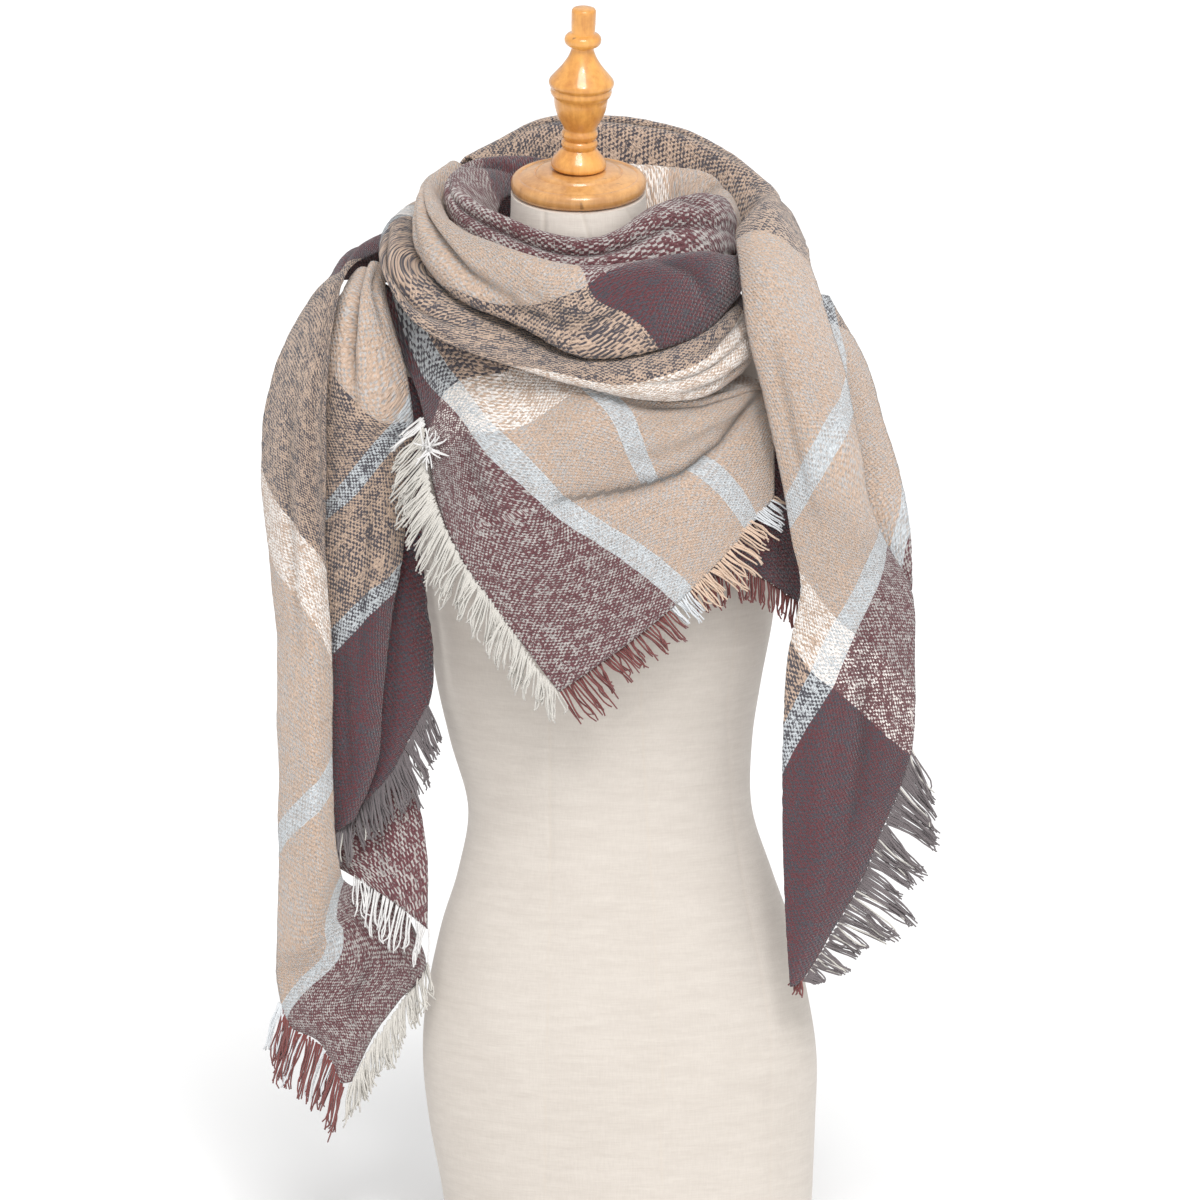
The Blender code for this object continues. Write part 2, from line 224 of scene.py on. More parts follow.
places = np.linspace(0, len(TORSO_ROWS) - 1, TORSO_RINGS)
rings = read_rows(TORSO_ROWS, places)
angles = 2 * np.pi * np.arange(TORSO_SIDES) / TORSO_SIDES
depth = np.where(np.sin(angles)[None, :] > 0, rings[:, 4:5], rings[:, 5:6])
out = depth * np.sin(angles)[None, :]
torso_x = rings[:, 1:2] + rings[:, 3:4] * np.cos(angles)[None, :]
torso_y = -(rings[:, 2:3] + out)
torso_z = rings[:, 0:1] - out * np.tan(np.radians(rings[:, 6:7]))
seam_table = np.array(SEAMS, float)
pull = np.zeros_like(torso_x)
for column in (1, 2, 3):
    seam_x = np.interp(torso_z, seam_table[:, 0], seam_table[:, column])
    pull = np.maximum(pull, np.exp(-((torso_x - seam_x) / SEAM_WIDTH) ** 2))
pull *= np.abs(np.sin(angles))[None, :] ** 0.5  # the seams fade out towards the sides
inward = 1 - SEAM_DEPTH * pull / np.maximum(rings[:, 3:4], 1)
torso_x = rings[:, 1:2] + (torso_x - rings[:, 1:2]) * inward
torso_y = torso_y * inward
points = np.stack([torso_x, torso_y, torso_z], axis=2).reshape(-1, 3) / MM
faces = []
for r in range(TORSO_RINGS - 1):
    for i in range(TORSO_SIDES):
        j = (i + 1) % TORSO_SIDES
        low, high = r * TORSO_SIDES, (r + 1) * TORSO_SIDES
        faces.append((low + j, low + i, high + i, high + j))
faces.append(tuple(range(TORSO_SIDES)))
faces.append(tuple(range((TORSO_RINGS - 1) * TORSO_SIDES, TORSO_RINGS * TORSO_SIDES))[::-1])
torso = place_mesh("torso", points, faces)
bpy.ops.object.select_all(action="DESELECT")
torso.select_set(True)
bpy.context.view_layer.objects.active = torso
bpy.ops.object.mode_set(mode="EDIT")
bpy.ops.mesh.select_all(action="SELECT")
bpy.ops.mesh.normals_make_consistent(inside=False)
bpy.ops.object.mode_set(mode="OBJECT")
bpy.ops.object.shade_smooth_by_angle(angle=TORSO_CREASE)
seam_mark = torso.data.attributes.new("seam", "FLOAT", "POINT")
seam_mark.data.foreach_set("value", pull.reshape(-1).astype(np.float32))

LINEN_LIGHT = (0.635, 0.585, 0.53)
LINEN_DARK = (0.525, 0.475, 0.425)
SEAM_COLOUR = (0.60, 0.52, 0.43)
# painted light: the linen of the neck is made paler than the body, standing in for the light
# that falls on it there; between which heights, and by how much
NECK_LIGHT_HEIGHTS = (0.79, 0.83)
NECK_PAINTED_LIGHT = 0.26
linen, start, link = finish("natural_linen", 0.85, Sheen_Weight=0.15, Sheen_Roughness=0.5)
where = start.place()
warp = where.stretched(1.0, 1.0, 0.12).speckle(900, 3)
weft = where.stretched(0.1, 0.1, 1.0).speckle(900, 3)
slub = where.stretched(0.12, 0.12, 1.0).speckle(190, 2)
cloud = where.speckle(9, 3)
threads = warp * 0.45 + weft * 0.55
tone = (threads * 0.9 + slub * 0.5 + cloud * 0.35 - 0.38).above(0.1, 0.95)
colour = tone.mix(LINEN_DARK, LINEN_LIGHT)
# painted light: the neck's linen made paler above these heights
colour = colour.tint(1.0 + where.axis(2).above(*NECK_LIGHT_HEIGHTS) * NECK_PAINTED_LIGHT)
colour = (start.mark("seam").above(0.35, 1.0) * 0.22).mix(colour, SEAM_COLOUR)
link(colour, threads + slub * 0.6, 0.0005, 0.5)
torso.data.materials.append(linen)
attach(torso, "root")
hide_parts("form_torso")

# Neck cap: a stepped disc of light hardwood, turned with fine grooves, sanded and
# varnished. It is screwed down on the slanted neck and closes the linen skin.
NECK_TILT = math.radians(13.0)
CAP_CENTRE = Vector((-0.033, -0.012, 0.867))
CAP_PROFILE = [
    (49.6, -7), (51.8, -6.6), (53.2, -5), (53.7, -2), (53.4, 1), (52.4, 3.2), (50.6, 4.6), (48.4, 5.3),
    (47.2, 5.1),
    (46.6, 4.7), (46.0, 4.9), (45.2, 5.5), (41, 6.5), (37, 7.6), (35.4, 8.1), (34.6, 7.7), (34.0, 7.5),
    (33.4, 8.0),
    (32.8, 9.3), (31.6, 9.9), (27, 10.5), (23.4, 10.8), (12, 10.8), (3, 10.8),
]
TURNED_SIDES = 128
TURNED_CREASE = math.radians(42)
CAP_STAIN = ((0.76, 0.405, 0.140), (0.48, 0.220, 0.066))  # the light and the dark of the grain
PORE_COLOUR = (0.30, 0.12, 0.03)
FLECK_COLOUR = (0.10, 0.045, 0.02)


def turn(name, profile, centre, tilt, lean):
    """A piece turned on the lathe: a ring drawn up its profile step by step, then capped."""
    bpy.ops.object.select_all(action="DESELECT")
    radius, height = profile[0]
    bpy.ops.mesh.primitive_circle_add(vertices=TURNED_SIDES, radius=radius / MM,
                                      location=(0, 0, height / MM))
    made = bpy.context.object
    made.name = name
    made.data.name = name
    bpy.ops.object.transform_apply(location=True, rotation=True, scale=True)
    bpy.ops.object.mode_set(mode="EDIT")
    bpy.ops.mesh.select_all(action="SELECT")
    bpy.ops.mesh.edge_face_add()
    for (r0, h0), (r1, h1) in zip(profile, profile[1:]):
        bpy.ops.mesh.extrude_region_move(TRANSFORM_OT_translate={"value": (0, 0, (h1 - h0) / MM)})
        bpy.ops.transform.resize(value=(r1 / r0, r1 / r0, 1), center_override=(0, 0, h1 / MM))
    bpy.ops.mesh.select_all(action="SELECT")
    bpy.ops.mesh.remove_doubles(threshold=0.00001)
    bpy.ops.mesh.normals_make_consistent(inside=False)
    bpy.ops.object.mode_set(mode="OBJECT")
    made.rotation_euler = (tilt, lean, 0)
    made.location = centre
    bpy.ops.object.transform_apply(location=True, rotation=True, scale=True)
    bpy.ops.object.shade_smooth_by_angle(angle=TURNED_CREASE)
    return made


def varnished(name, light, dark, centre, tilt):
    """Varnished wood: growth bands along the axis, fine pores and a few small dark flecks."""
    made, start, link = finish(name, 0.38, Coat_Weight=0.65, Coat_Roughness=0.09)
    local = start.node("Mapping", {"vector_type": "TEXTURE"},
                       {"Vector": start.place(), "Location": tuple(centre), "Rotation": (tilt, 0, 0)})
    stain = local.speckle(34, 4, 0.65)
    grain = local.stretched(1.0, 1.0, 0.12).speckle(150, 4, 0.7)
    bands = local.node("TexWave", {"wave_type": "BANDS", "bands_direction": "X"},
                       {"Vector": local, "Scale": 46, "Distortion": 9.0, "Detail": 4, "Detail Scale": 2.2})
    pores = local.stretched(1.0, 1.0, 0.05).speckle(900, 2)
    flecks = local.stretched(1.0, 2.4, 0.35).speckle(105, 2).above(0.69, 0.76)
    tone = (stain * 0.9 + grain * 0.45 + bands * 0.05).above(0.42, 0.98)
    colour = tone.mix(dark, light)
    colour = (pores.above(0.56, 0.72) * 0.16).mix(colour, PORE_COLOUR)
    colour = (flecks * 0.55).mix(colour, FLECK_COLOUR)
    link(colour, grain * 0.5 + pores * 0.5, 0.0002, 0.12, rough=0.30 + grain * 0.12)
    return made


cap = turn("neck_cap", CAP_PROFILE, CAP_CENTRE, NECK_TILT, 0)
cap.data.materials.append(varnished("cap_varnish", *CAP_STAIN, CAP_CENTRE, NECK_TILT))
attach(cap, "root")
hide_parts("form_neck_cap")

# Finial: one spindle of the same hardwood, turned with a foot, beads, an urn-shaped
# body and a peg, stained a warmer shade than the cap and screwed to its middle.
STEP_UP = 0.0121
FINIAL_STAIN = ((0.86, 0.425, 0.095), (0.54, 0.210, 0.038))
FINIAL_LEAN = math.radians(2.0)
FINIAL_BASE = CAP_CENTRE + Vector((0, -math.sin(NECK_TILT), math.cos(NECK_TILT))) * STEP_UP
FINIAL_PROFILE = [
    (18.5, 0.0), (20.5, 0.1), (21.5, 0.9), (21.9, 2.4), (21.8, 4.0), (21.2, 6.0), (20.0, 8.2),
    (18.2, 10.3), (16.6, 12.4),
    (15.2, 14.2), (13.9, 15.4), (13.1, 16.3), (13.3, 17.0), (14.0, 18.2), (14.4, 19.7), (14.4, 21.2),
    (13.8, 22.7),
    (12.7, 23.6), (12.3, 24.0), (13.0, 24.8), (13.9, 26.0), (14.4, 27.6), (14.4, 29.2), (13.8, 30.8),
    (12.9, 31.8),
    (12.8, 32.6), (13.4, 34.2), (14.9, 37.0), (16.8, 40.5), (18.4, 44.0), (19.7, 47.6), (20.6, 51.4),
    (21.2, 55.4),
    (21.5, 58.4), (21.9, 59.2), (23.0, 60.2), (23.9, 61.6), (24.3, 63.3), (24.2, 65.0), (23.7, 66.2),
    (23.9, 66.9),
    (25.0, 67.9), (25.7, 69.4), (25.8, 71.0), (25.2, 72.7), (23.9, 74.4), (21.5, 77.2), (18.8, 80.4),
    (16.2, 83.6),
    (13.9, 86.9), (12.0, 90.0), (10.6, 92.8), (9.6, 95.4), (8.9, 98.0), (8.8, 99.4), (9.6, 100.4),
    (11.6, 101.0),
    (13.3, 102.2), (14.4, 104.0), (14.6, 106.0), (14.0, 108.2), (12.6, 109.9), (10.6, 110.7), (9.6, 111.2),
    (9.3, 112.4), (9.6, 120.0), (9.7, 128.0), (9.5, 129.8), (8.7, 131.1), (7.4, 131.6), (2.0, 131.7),
]
finial = turn("finial", FINIAL_PROFILE, FINIAL_BASE, NECK_TILT, FINIAL_LEAN)
finial.data.materials.append(varnished("finial_varnish", *FINIAL_STAIN, FINIAL_BASE, NECK_TILT))
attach(finial, "root")
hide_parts("form_finial")

# Scarf, collar roll: the innermost turn of one big square of brushed acrylic cloth,
# plain woven in a large plaid. It lies round the neck as a soft arch, open underneath.
NECK_ROLL = [
    (-26, 67, 800, -25, 84, 826, -24, 103, 799),
    (-78, 52, 818, -94, 64, 843, -95, 78, 811),
    (-98, 10, 836, -130, 10, 863, -135, 14, 838),
    (-86, -32, 852, -106, -40, 880, -119, -50, 856),
    (-34, -58, 845, -34, -73, 874, -34, -88, 850),
    (38, -38, 836, 58, -50, 869, 70, -52, 842),
    (60, -12, 820, 84, -17, 852, 94, -16, 816),
    (46, 22, 826, 72, 25, 857, 82, 40, 806),
    (18, 50, 820, 36, 52, 853, 52, 80, 802),
]
NECK_ROLL_FOLDS = [
    # height, width, then the row and across places that the fold runs through
    (-8, 5, ((11.2, 0.62), (10.6, 0.70), (9.8, 0.70), (9.0, 0.70), (8.2, 0.70), (7.2, 0.78), (6.5, 0.88))),
    (3, 7, ((10.6, 0.52), (9.4, 0.48), (8.4, 0.48))),
    (-4, 5, ((8.3, 0.25), (7.7, 0.45), (7.4, 0.7))),
    (-4, 5, ((7.2, 0.2), (6.9, 0.4), (6.7, 0.6))),
    (-5, 6, ((12.2, 0.2), (11.8, 0.4), (11.6, 0.6))),
    (-4, 6, ((5.6, 0.2), (5.4, 0.8))),
    (-4, 5, ((10.9, 0.30), (10.3, 0.36), (9.6, 0.32))),
]
NECK_ROLL_WEAVE = [
    # row, across, warp place, weft place
    (9.0, 0.5, 722, -470), (8.4, 0.5, 690, -470), (7.8, 0.5, 660, -468), (7.0, 0.5, 622, -460),
    (6.4, 0.5, 590, -440), (5.8, 0.5, 556, -400), (5.2, 0.5, 515, -350), (4.6, 0.5, 480, -300),
    (9.8, 0.5, 782, -466), (10.6, 0.5, 840, -462), (11.3, 0.7, 890, -470), (11.3, 0.2, 895, -520),
    (12.0, 0.3, 945, -560), (12.8, 0.4, 1000, -610), (9.0, 0.95, 722, -505), (9.0, 0.1, 722, -425),
    (7.2, 0.95, 640, -500), (10.4, 0.95, 830, -500),
]
CLOTH_WALL = 0.0021
MESH_PITCH = 3.1
# how finely a stretch is walked over to measure it, along and across
WALK_STEPS = 600
WALK_SIDES = 21
# the swell of soft cloth and the ripple on it: size across, heights, and how much finer
# the ripple is; then the waver of a cut edge
SWELL_SIZE = 38
SWELL_HEIGHT = 1.6
RIPPLE_HEIGHT = 0.35
RIPPLE_FINER = 5.5
WAVER_SIZE = 7.0
WAVER_SHARE = 0.3
# a fold this deep gets the full painted shade in its hollow, over this share of its width
DEEP_FOLD = 7
SHADE_SHARE = 0.6
MAROON = (0.130, 0.034, 0.042)
PEACH = (0.590, 0.430, 0.325)
BLUE_WHITE = (0.62, 0.655, 0.68)
WARM_WHITE = (0.95, 0.89, 0.84)
PALE_GREY = (0.51, 0.475, 0.455)
CHARCOAL = (0.066, 0.060, 0.075)
WARP_BANDS = [
    # where each colour starts, counted in millimetres across the warp
    (-400, MAROON), (119, BLUE_WHITE), (143, PEACH), (230, BLUE_WHITE), (254, PEACH), (600, MAROON),
]
WEFT_BANDS = [
    # the same along the warp; the far end of the cloth counts below zero
    (-1000, CHARCOAL), (-545, PALE_GREY), (-316, WARM_WHITE), (-270, CHARCOAL), (-35, PALE_GREY),
    (218, WARM_WHITE), (264, CHARCOAL),
]
BAND_START = -1000.0
BAND_SPAN = 2000.0
UV_SCALE = 100.0  # millimetres of weave to one unit of UV
WEFT_WIDTH = 1.65
WARP_WIDTH = 2.9
WANDER = 2.2  # millimetres within which a yarn strays, from side to side
# how readily the warp lies on top of the weft of each colour: the higher, the more warp shows
COVER = {PALE_GREY: 0.68, WARM_WHITE: 0.47, CHARCOAL: 0.53}


def bend(squared):
    """How a thin plate bends with the squared distance from a point that holds it."""
    return np.where(squared > 0, squared * np.log(np.maximum(squared, 1e-12)), 0.0)


def spread(known, values, wanted, ease=0.02):
    """Values at the wanted places, from a thin plate bent to meet the known ones."""
    scale = 100.0
    known, wanted = known / scale, wanted / scale
    count = len(known)
    gap = ((known[:, None, :] - known[None, :, :]) ** 2).sum(2)
    system = np.zeros((count + 3, count + 3))
    system[:count, :count] = bend(gap) + ease * np.eye(count)
    system[:count, count] = 1
    system[:count, count + 1:] = known
    system[count:, :count] = system[:count, count:].T
    right = np.zeros((count + 3, values.shape[1]))
    right[:count] = values
    weights = np.linalg.solve(system, right)
    gap = ((wanted[:, None, :] - known[None, :, :]) ** 2).sum(2)
    return bend(gap) @ weights[:count] + weights[count] + wanted @ weights[count + 1:]


def sections(rows, places, across, roundness, closed=False):
    """Points in millimetres on the cloth: places along its rows by places across them."""
    table = read_rows(rows, places, closed)
    first, middle, last = (table[:, None, k:k + 3] for k in (0, 3, 6))
    s = across[None, :, None]
    centre = (first + last) / 2
    flat = first + (last - first) * s + (middle - centre) * np.sin(np.pi * s)
    arch = centre + (first - centre) * np.cos(np.pi * s) + (middle - centre) * np.sin(np.pi * s)
    found = flat + (arch - flat) * roundness
    found[..., 1] *= -1
    return found


def along_cloth(rows, roundness, closed, start, end):
    """Places along the cloth, and at each the length walked so far and the width there."""
    fine = np.linspace(start, end, WALK_STEPS)
    across = np.linspace(0, 1, WALK_SIDES)
    found = sections(rows, fine, across, roundness, closed)
    legs = np.linalg.norm(np.diff(found[:, WALK_SIDES // 2], axis=0), axis=1)
    length = np.concatenate([[0], np.cumsum(legs)])
    width = np.linalg.norm(np.diff(found, axis=1), axis=2).sum(1)
    return fine, length, width


def distance_to_line(x, y, line):
    """Distance of every point to a line of straight pieces, and how far along it that is."""
    best = np.full(x.shape, 1e9)
    part = np.zeros(x.shape)
    legs = [math.dist(a, b) for a, b in zip(line, line[1:])]
    walked = 0.0
    for (ax, ay), (bx, by), leg in zip(line, line[1:], legs):
        t = ((x - ax) * (bx - ax) + (y - ay) * (by - ay)) / max(leg * leg, 1e-9)
        t = np.clip(t, 0, 1)
        gap = np.hypot(x - ax - t * (bx - ax), y - ay - t * (by - ay))
        closer = gap < best
        best = np.where(closer, gap, best)
        part = np.where(closer, (walked + t * leg) / sum(legs), part)
        walked += leg
    return best, part


def drape(name, rows, folds, weave, seed, roundness=0.0, closed=False, start=0.0, parted=None):
    """A cloth stretch as a fine mesh: its sections, then the folds laid into them, a little
    unevenness all over, and the place of every point in the weave as its UV."""
    count = len(rows)
    end = start + count if closed else count - 1
    fine, length, width = along_cloth(rows, roundness, closed, start, end)
    lines = max(int(length[-1] / MESH_PITCH), 8)
    steps = max(int(width.max() / MESH_PITCH), 6)
    places = np.interp(np.linspace(0, length[-1], lines + 1), length, fine)
    across = np.linspace(0, 1, steps + 1)
    found = sections(rows, places, across, roundness, closed)
    x = np.interp(places, fine, length)[:, None] + 0 * across[None, :]
    y = (across[None, :] - 0.5) * np.interp(places, fine, width)[:, None]
    normal = np.cross(np.gradient(found, axis=1), np.gradient(found, axis=0))
    normal /= np.maximum(np.linalg.norm(normal, axis=2, keepdims=True), 1e-9)
    # the outside of a hanging stretch faces forward, that of the closed collar faces up
    if (normal[:, steps // 2, 2].sum() < 0) if closed else (normal[..., 1].sum() > 0):
        normal = -normal
    push = np.zeros(x.shape)
    painted_shade = np.zeros(x.shape)

    def flat_place(place, side):
        at = np.interp(place, fine, length)
        return at, (side - 0.5) * np.interp(place, fine, width)

    for height, wide, line in folds:
        gap, part = distance_to_line(x, y, [flat_place(*point) for point in line])
        fade = np.sin(np.pi * np.clip(part, 0.06, 0.94)) ** 0.6
        push += height * fade * np.exp(-(gap / wide) ** 2)
        # painted shade: a fold that sinks in darkens the cloth's colour along its line
        if height < 0:
            shade = min(-height / DEEP_FOLD, 1) * fade * np.exp(-(gap / wide / SHADE_SHARE) ** 2)
            painted_shade = np.maximum(painted_shade, shade)
    ring_radius = length[-1] / 2 / math.pi / SWELL_SIZE
    for i in range(lines + 1):
        for j in range(steps + 1):
            side = y[i, j] / SWELL_SIZE
            if closed:
                ring = 2 * math.pi * x[i, j] / length[-1]
                spot = Vector((ring_radius * math.cos(ring), ring_radius * math.sin(ring), side + seed))
            else:
                spot = Vector((x[i, j] / SWELL_SIZE + seed * 7.3, side, seed * 3.1))
            push[i, j] += SWELL_HEIGHT * noise.noise(spot) + RIPPLE_HEIGHT * noise.noise(spot * RIPPLE_FINER)
    points = found + normal * push[..., None]
    waver = np.array([noise.noise(Vector((a / WAVER_SIZE, seed * 5.0, 0.0))) for a in x[:, 0]])
    for side, inside in ((0, 1), (-1, -2)):
        outward = points[:, side] - points[:, inside]
        points[:, side] += outward * (WAVER_SHARE * waver[:, None])
    known = np.array([flat_place(row[0], row[1]) for row in weave])
    values = np.array([row[2:4] for row in weave], float)
    wanted = np.stack([x.reshape(-1), y.reshape(-1)], axis=1)
    if parted:
        # the cloth folds over itself along this line, so the weave below it is placed on its
        # own; the points at the edge before the line's first bend belong to both sides
        line_across, line_row = zip(*parted)
        edge = np.array([row[1] < line_across[1] for row in weave])
        under = np.array([row[0] < np.interp(row[1], line_across, line_row) for row in weave])
        lower, upper = [
            spread(known[chosen], values[chosen], wanted).reshape(*x.shape, 2)
            for chosen in (edge | under, edge | ~under)
        ]
        below = places[:, None] < np.interp(across[None, :], line_across, line_row)
        weave_place = np.where(below[..., None], lower, upper)
    else:
        weave_place = spread(known, values, wanted).reshape(*x.shape, 2)
    rings = lines if closed else lines + 1
    row_length = steps + 1
    faces = []
    for i in range(lines):
        here, after = i * row_length, (i + 1) % rings * row_length
        faces += [(here + j, here + j + 1, after + j + 1, after + j) for j in range(steps)]
    made = place_mesh(name, points[:rings].reshape(-1, 3) / MM, faces)
    middle = len(faces) // 2
    if made.data.polygons[middle].normal.dot(Vector(normal[middle // steps, middle % steps])) < 0:
        made.data.flip_normals()
    # a mesh lists each face's corners in its own order, so the weave place is read back per
    # corner; where a closed stretch meets its start, its last faces end one whole turn on
    corner = np.empty(len(made.data.loops), np.int32)
    made.data.loops.foreach_get("vertex_index", corner)
    if closed:
        last_faces = np.arange(len(corner)) >= (lines - 1) * steps * 4
        corner = np.where(last_faces & (corner < row_length), corner + lines * row_length, corner)
    layer = made.data.uv_layers.new(name="weave")
    weave_uv = weave_place.reshape(-1, 2)[corner] / UV_SCALE
    layer.data.foreach_set("uv", weave_uv.astype(np.float32).reshape(-1))
    # the painted shade of the folds, carried to the cloth's colour
    crease = made.data.attributes.new("crease", "FLOAT", "POINT")
    crease.data.foreach_set("value", painted_shade[:rings].reshape(-1).astype(np.float32))
    wall = made.modifiers.new("wall", "SOLIDIFY")
    wall.thickness = CLOTH_WALL
    wall.offset = 0.0
    return made


def band_ramp(coordinate, bands):
    """The colour of the band that a coordinate in millimetres falls in."""
    stops = [((at - BAND_START) / BAND_SPAN, colour) for at, colour in bands]
    return coordinate.node("ValToRGB", {"interpolation": "CONSTANT", "stops": stops},
                           {0: (coordinate - BAND_START) * (1 / BAND_SPAN)})


def plaid(name):
    """Brushed plain weave: warp and weft yarns in their own bands of colour, crossing over
    and under, with uneven yarn, a nap that blurs them and cloudy patches."""
    made, start, link = finish(name, 0.92, Sheen_Weight=0.32, Sheen_Roughness=0.45)
    where = start.node("UVMap", {"uv_map": "weave"})
    shifted = where.node("VectorMath", {"operation": "ADD"}, {0: where, 1: (7.7, 3.1, 0.0)})
    u = where.axis(0) * UV_SCALE + (where.speckle(7.0, 2) - 0.5) * WANDER
    v = where.axis(1) * UV_SCALE + (shifted.speckle(7.0, 2) - 0.5) * WANDER
    crossing = (u * (math.pi / WARP_WIDTH)).sine() * (v * (math.pi / WEFT_WIDTH)).sine()
    warp_floats = where.stretched(1.0, 0.45, 1.0).speckle(80, 1.0, 0.5)
    weft_floats = shifted.stretched(0.45, 1.0, 1.0).speckle(80, 1.0, 0.5)
    cloud = where.speckle(8, 3, 0.6)
    warp_colour = band_ramp(u, WARP_BANDS)
    weft_colour = band_ramp(v, WEFT_BANDS)
    rise = band_ramp(v, [(at, (COVER[paint],) * 3) for at, paint in WEFT_BANDS])
    # the thick maroon warp hides more of the white weft than the peach warp does
    hidden = band_ramp(u, [(at, ((paint == MAROON) * 0.3,) * 3) for at, paint in WARP_BANDS])
    hidden = hidden * band_ramp(v, [(at, ((paint == WARM_WHITE) * 1.0,) * 3) for at, paint in WEFT_BANDS])
    # each crossing of two yarns has its own chance, by the numbers of its yarns
    column = (u * (1 / WARP_WIDTH)).maths("FLOOR")
    line = (v * (1 / WEFT_WIDTH)).maths("FLOOR")
    cell = start.node("TexWhiteNoise", {"noise_dimensions": "3D"},
                      {"Vector": start.node("CombineXYZ", {}, {0: column, 1: line})})
    over = (crossing * 0.52 + (cell - 0.5) * 0.75 + (warp_floats - weft_floats) * 1.2
            + (cloud - 0.5) * 1.5 + rise + hidden)
    warp_on_top = over.above(0.30, 0.70)
    colour = (warp_on_top * 0.94 + 0.03).mix(weft_colour, warp_colour)
    yarn_shade = where.speckle(95, 2, 0.7)
    thick = warp_floats + weft_floats - 1.0
    colour = colour.tint(0.74 + yarn_shade * 0.48 + thick * 0.7)
    # painted shade: the cloth darkened in the hollows of its folds
    colour = colour.tint(1.0 - start.mark("crease") * 0.55)
    height = crossing * 0.6 + (warp_floats + weft_floats) * 1.8 + yarn_shade * 0.8
    link(colour, height, 0.0010, 0.9)
    return made


PLAID = plaid("brushed_plaid")


def dress(piece, nodes):
    piece.data.materials.append(PLAID)
    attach(piece, "root")
    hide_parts(*nodes)


neck_roll = drape("neck_roll", NECK_ROLL, NECK_ROLL_FOLDS, NECK_ROLL_WEAVE, seed=1,
                  roundness=0.8, closed=True, start=4.4)

# Upper cowl: the next turn, slung from shoulder to shoulder below the collar roll and
# tucked under it. Soft, heavy folds with their lower edges rolled inwards.
COWL_UPPER = [
    (-117, -58, 840, -131, -68, 874, -142, -68, 852),
    (-131, -26, 826, -148, -28, 864, -158, -26, 846),
    (-132, 6, 818, -151, 8, 860, -162, 10, 840),
    (-122, 46, 804, -144, 58, 848, -158, 52, 814),
    (-98, 80, 788, -118, 102, 834, -127, 101, 786),
    (-62, 98, 780, -77, 132, 823, -78, 131, 766),
    (-24, 102, 776, -28, 148, 812, -28, 152, 745),
    (20, 98, 778, 28, 140, 818, 23, 146, 749),
    (56, 80, 782, 70, 112, 820, 65, 114, 760),
    (78, 46, 784, 90, 66, 813, 91, 67, 782),
    (88, 6, 790, 97, 16, 812, 99, 16, 795),
]
COWL_UPPER_FOLDS = [
    (-10, 5, ((1.6, 0.62), (2.6, 0.66), (3.6, 0.76), (4.2, 0.84), (4.9, 0.88))),
    (-5, 4, ((4.6, 0.96), (5.3, 0.90), (6.2, 0.88))),
    (-4, 4, ((5.2, 0.80), (5.9, 0.84), (6.6, 0.80))),
    (-4, 8, ((7.0, 0.5), (7.6, 0.65), (8.0, 0.85))),
    (3, 8, ((2.4, 0.88), (3.6, 0.92), (4.6, 0.96))),
    (-4, 5, ((1.2, 0.78), (2.4, 0.84), (3.2, 0.92))),
]
COWL_UPPER_WEAVE = [
    (4.02, 1.0, 481, -545), (4.80, 0.97, 527, -545), (5.18, 0.90, 550, -545), (5.64, 0.78, 577, -545),
    (6.05, 0.70, 600, -545), (5.95, 0.53, 600, -527), (6.52, 0.81, 600, -580), (7.07, 0.98, 600, -613),
    (5.39, 0.70, 572, -520), (4.45, 0.83, 505, -525), (3.66, 0.79, 465, -515), (3.02, 0.67, 445, -480),
    (7.73, 0.81, 655, -602), (9.2, 0.5, 710, -570), (2.0, 0.5, 430, -430), (0.2, 0.5, 410, -370),
    (5.68, 0.95, 580, -574), (5.0, 0.4, 560, -490), (7.6, 0.5, 665, -560),
]
cowl_upper = drape("cowl_upper", COWL_UPPER, COWL_UPPER_FOLDS, COWL_UPPER_WEAVE, roundness=0.75, seed=2)

# Lower cowl: the turn beneath, showing as a crescent under the upper one, with the
# bulky rolls that it makes where it is pulled up to the far shoulder.
COWL_LOWER = [
    (-146, -50, 834, -163, -52, 844, -160, -48, 834),
    (-156, -22, 828, -176, -20, 839, -177, -15, 816),
    (-160, 6, 816, -183, 12, 828, -187, 22, 800),
    (-143, 44, 800, -181, 60, 804, -174, 76, 788),
    (-112, 78, 784, -150, 112, 773, -147, 116, 762),
    (-74, 100, 764, -88, 140, 750, -92, 149, 741),
    (-26, 118, 744, -28, 154, 738, -28, 162, 723),
    (21, 116, 748, 23, 160, 736, 23, 160, 713),
    (58, 94, 758, 64, 146, 744, 62, 143, 713),
    (84, 54, 772, 92, 116, 758, 92, 113, 725),
    (92, 12, 780, 104, 84, 766, 107, 85, 741),
]
COWL_LOWER_FOLDS = [
    (-7, 5, ((2.0, 0.50), (3.0, 0.52), (3.6, 0.50), (4.4, 0.44))),
    (-4, 4, ((2.4, 0.78), (3.4, 0.76), (4.4, 0.72))),
    (-6, 5, ((6.9, 0.68), (7.8, 0.66), (8.6, 0.62), (9.4, 0.58))),
    (-5, 5, ((7.6, 0.88), (8.5, 0.86), (9.3, 0.84))),
    (-5, 6, ((7.8, 0.42), (8.8, 0.38), (9.8, 0.40))),
]
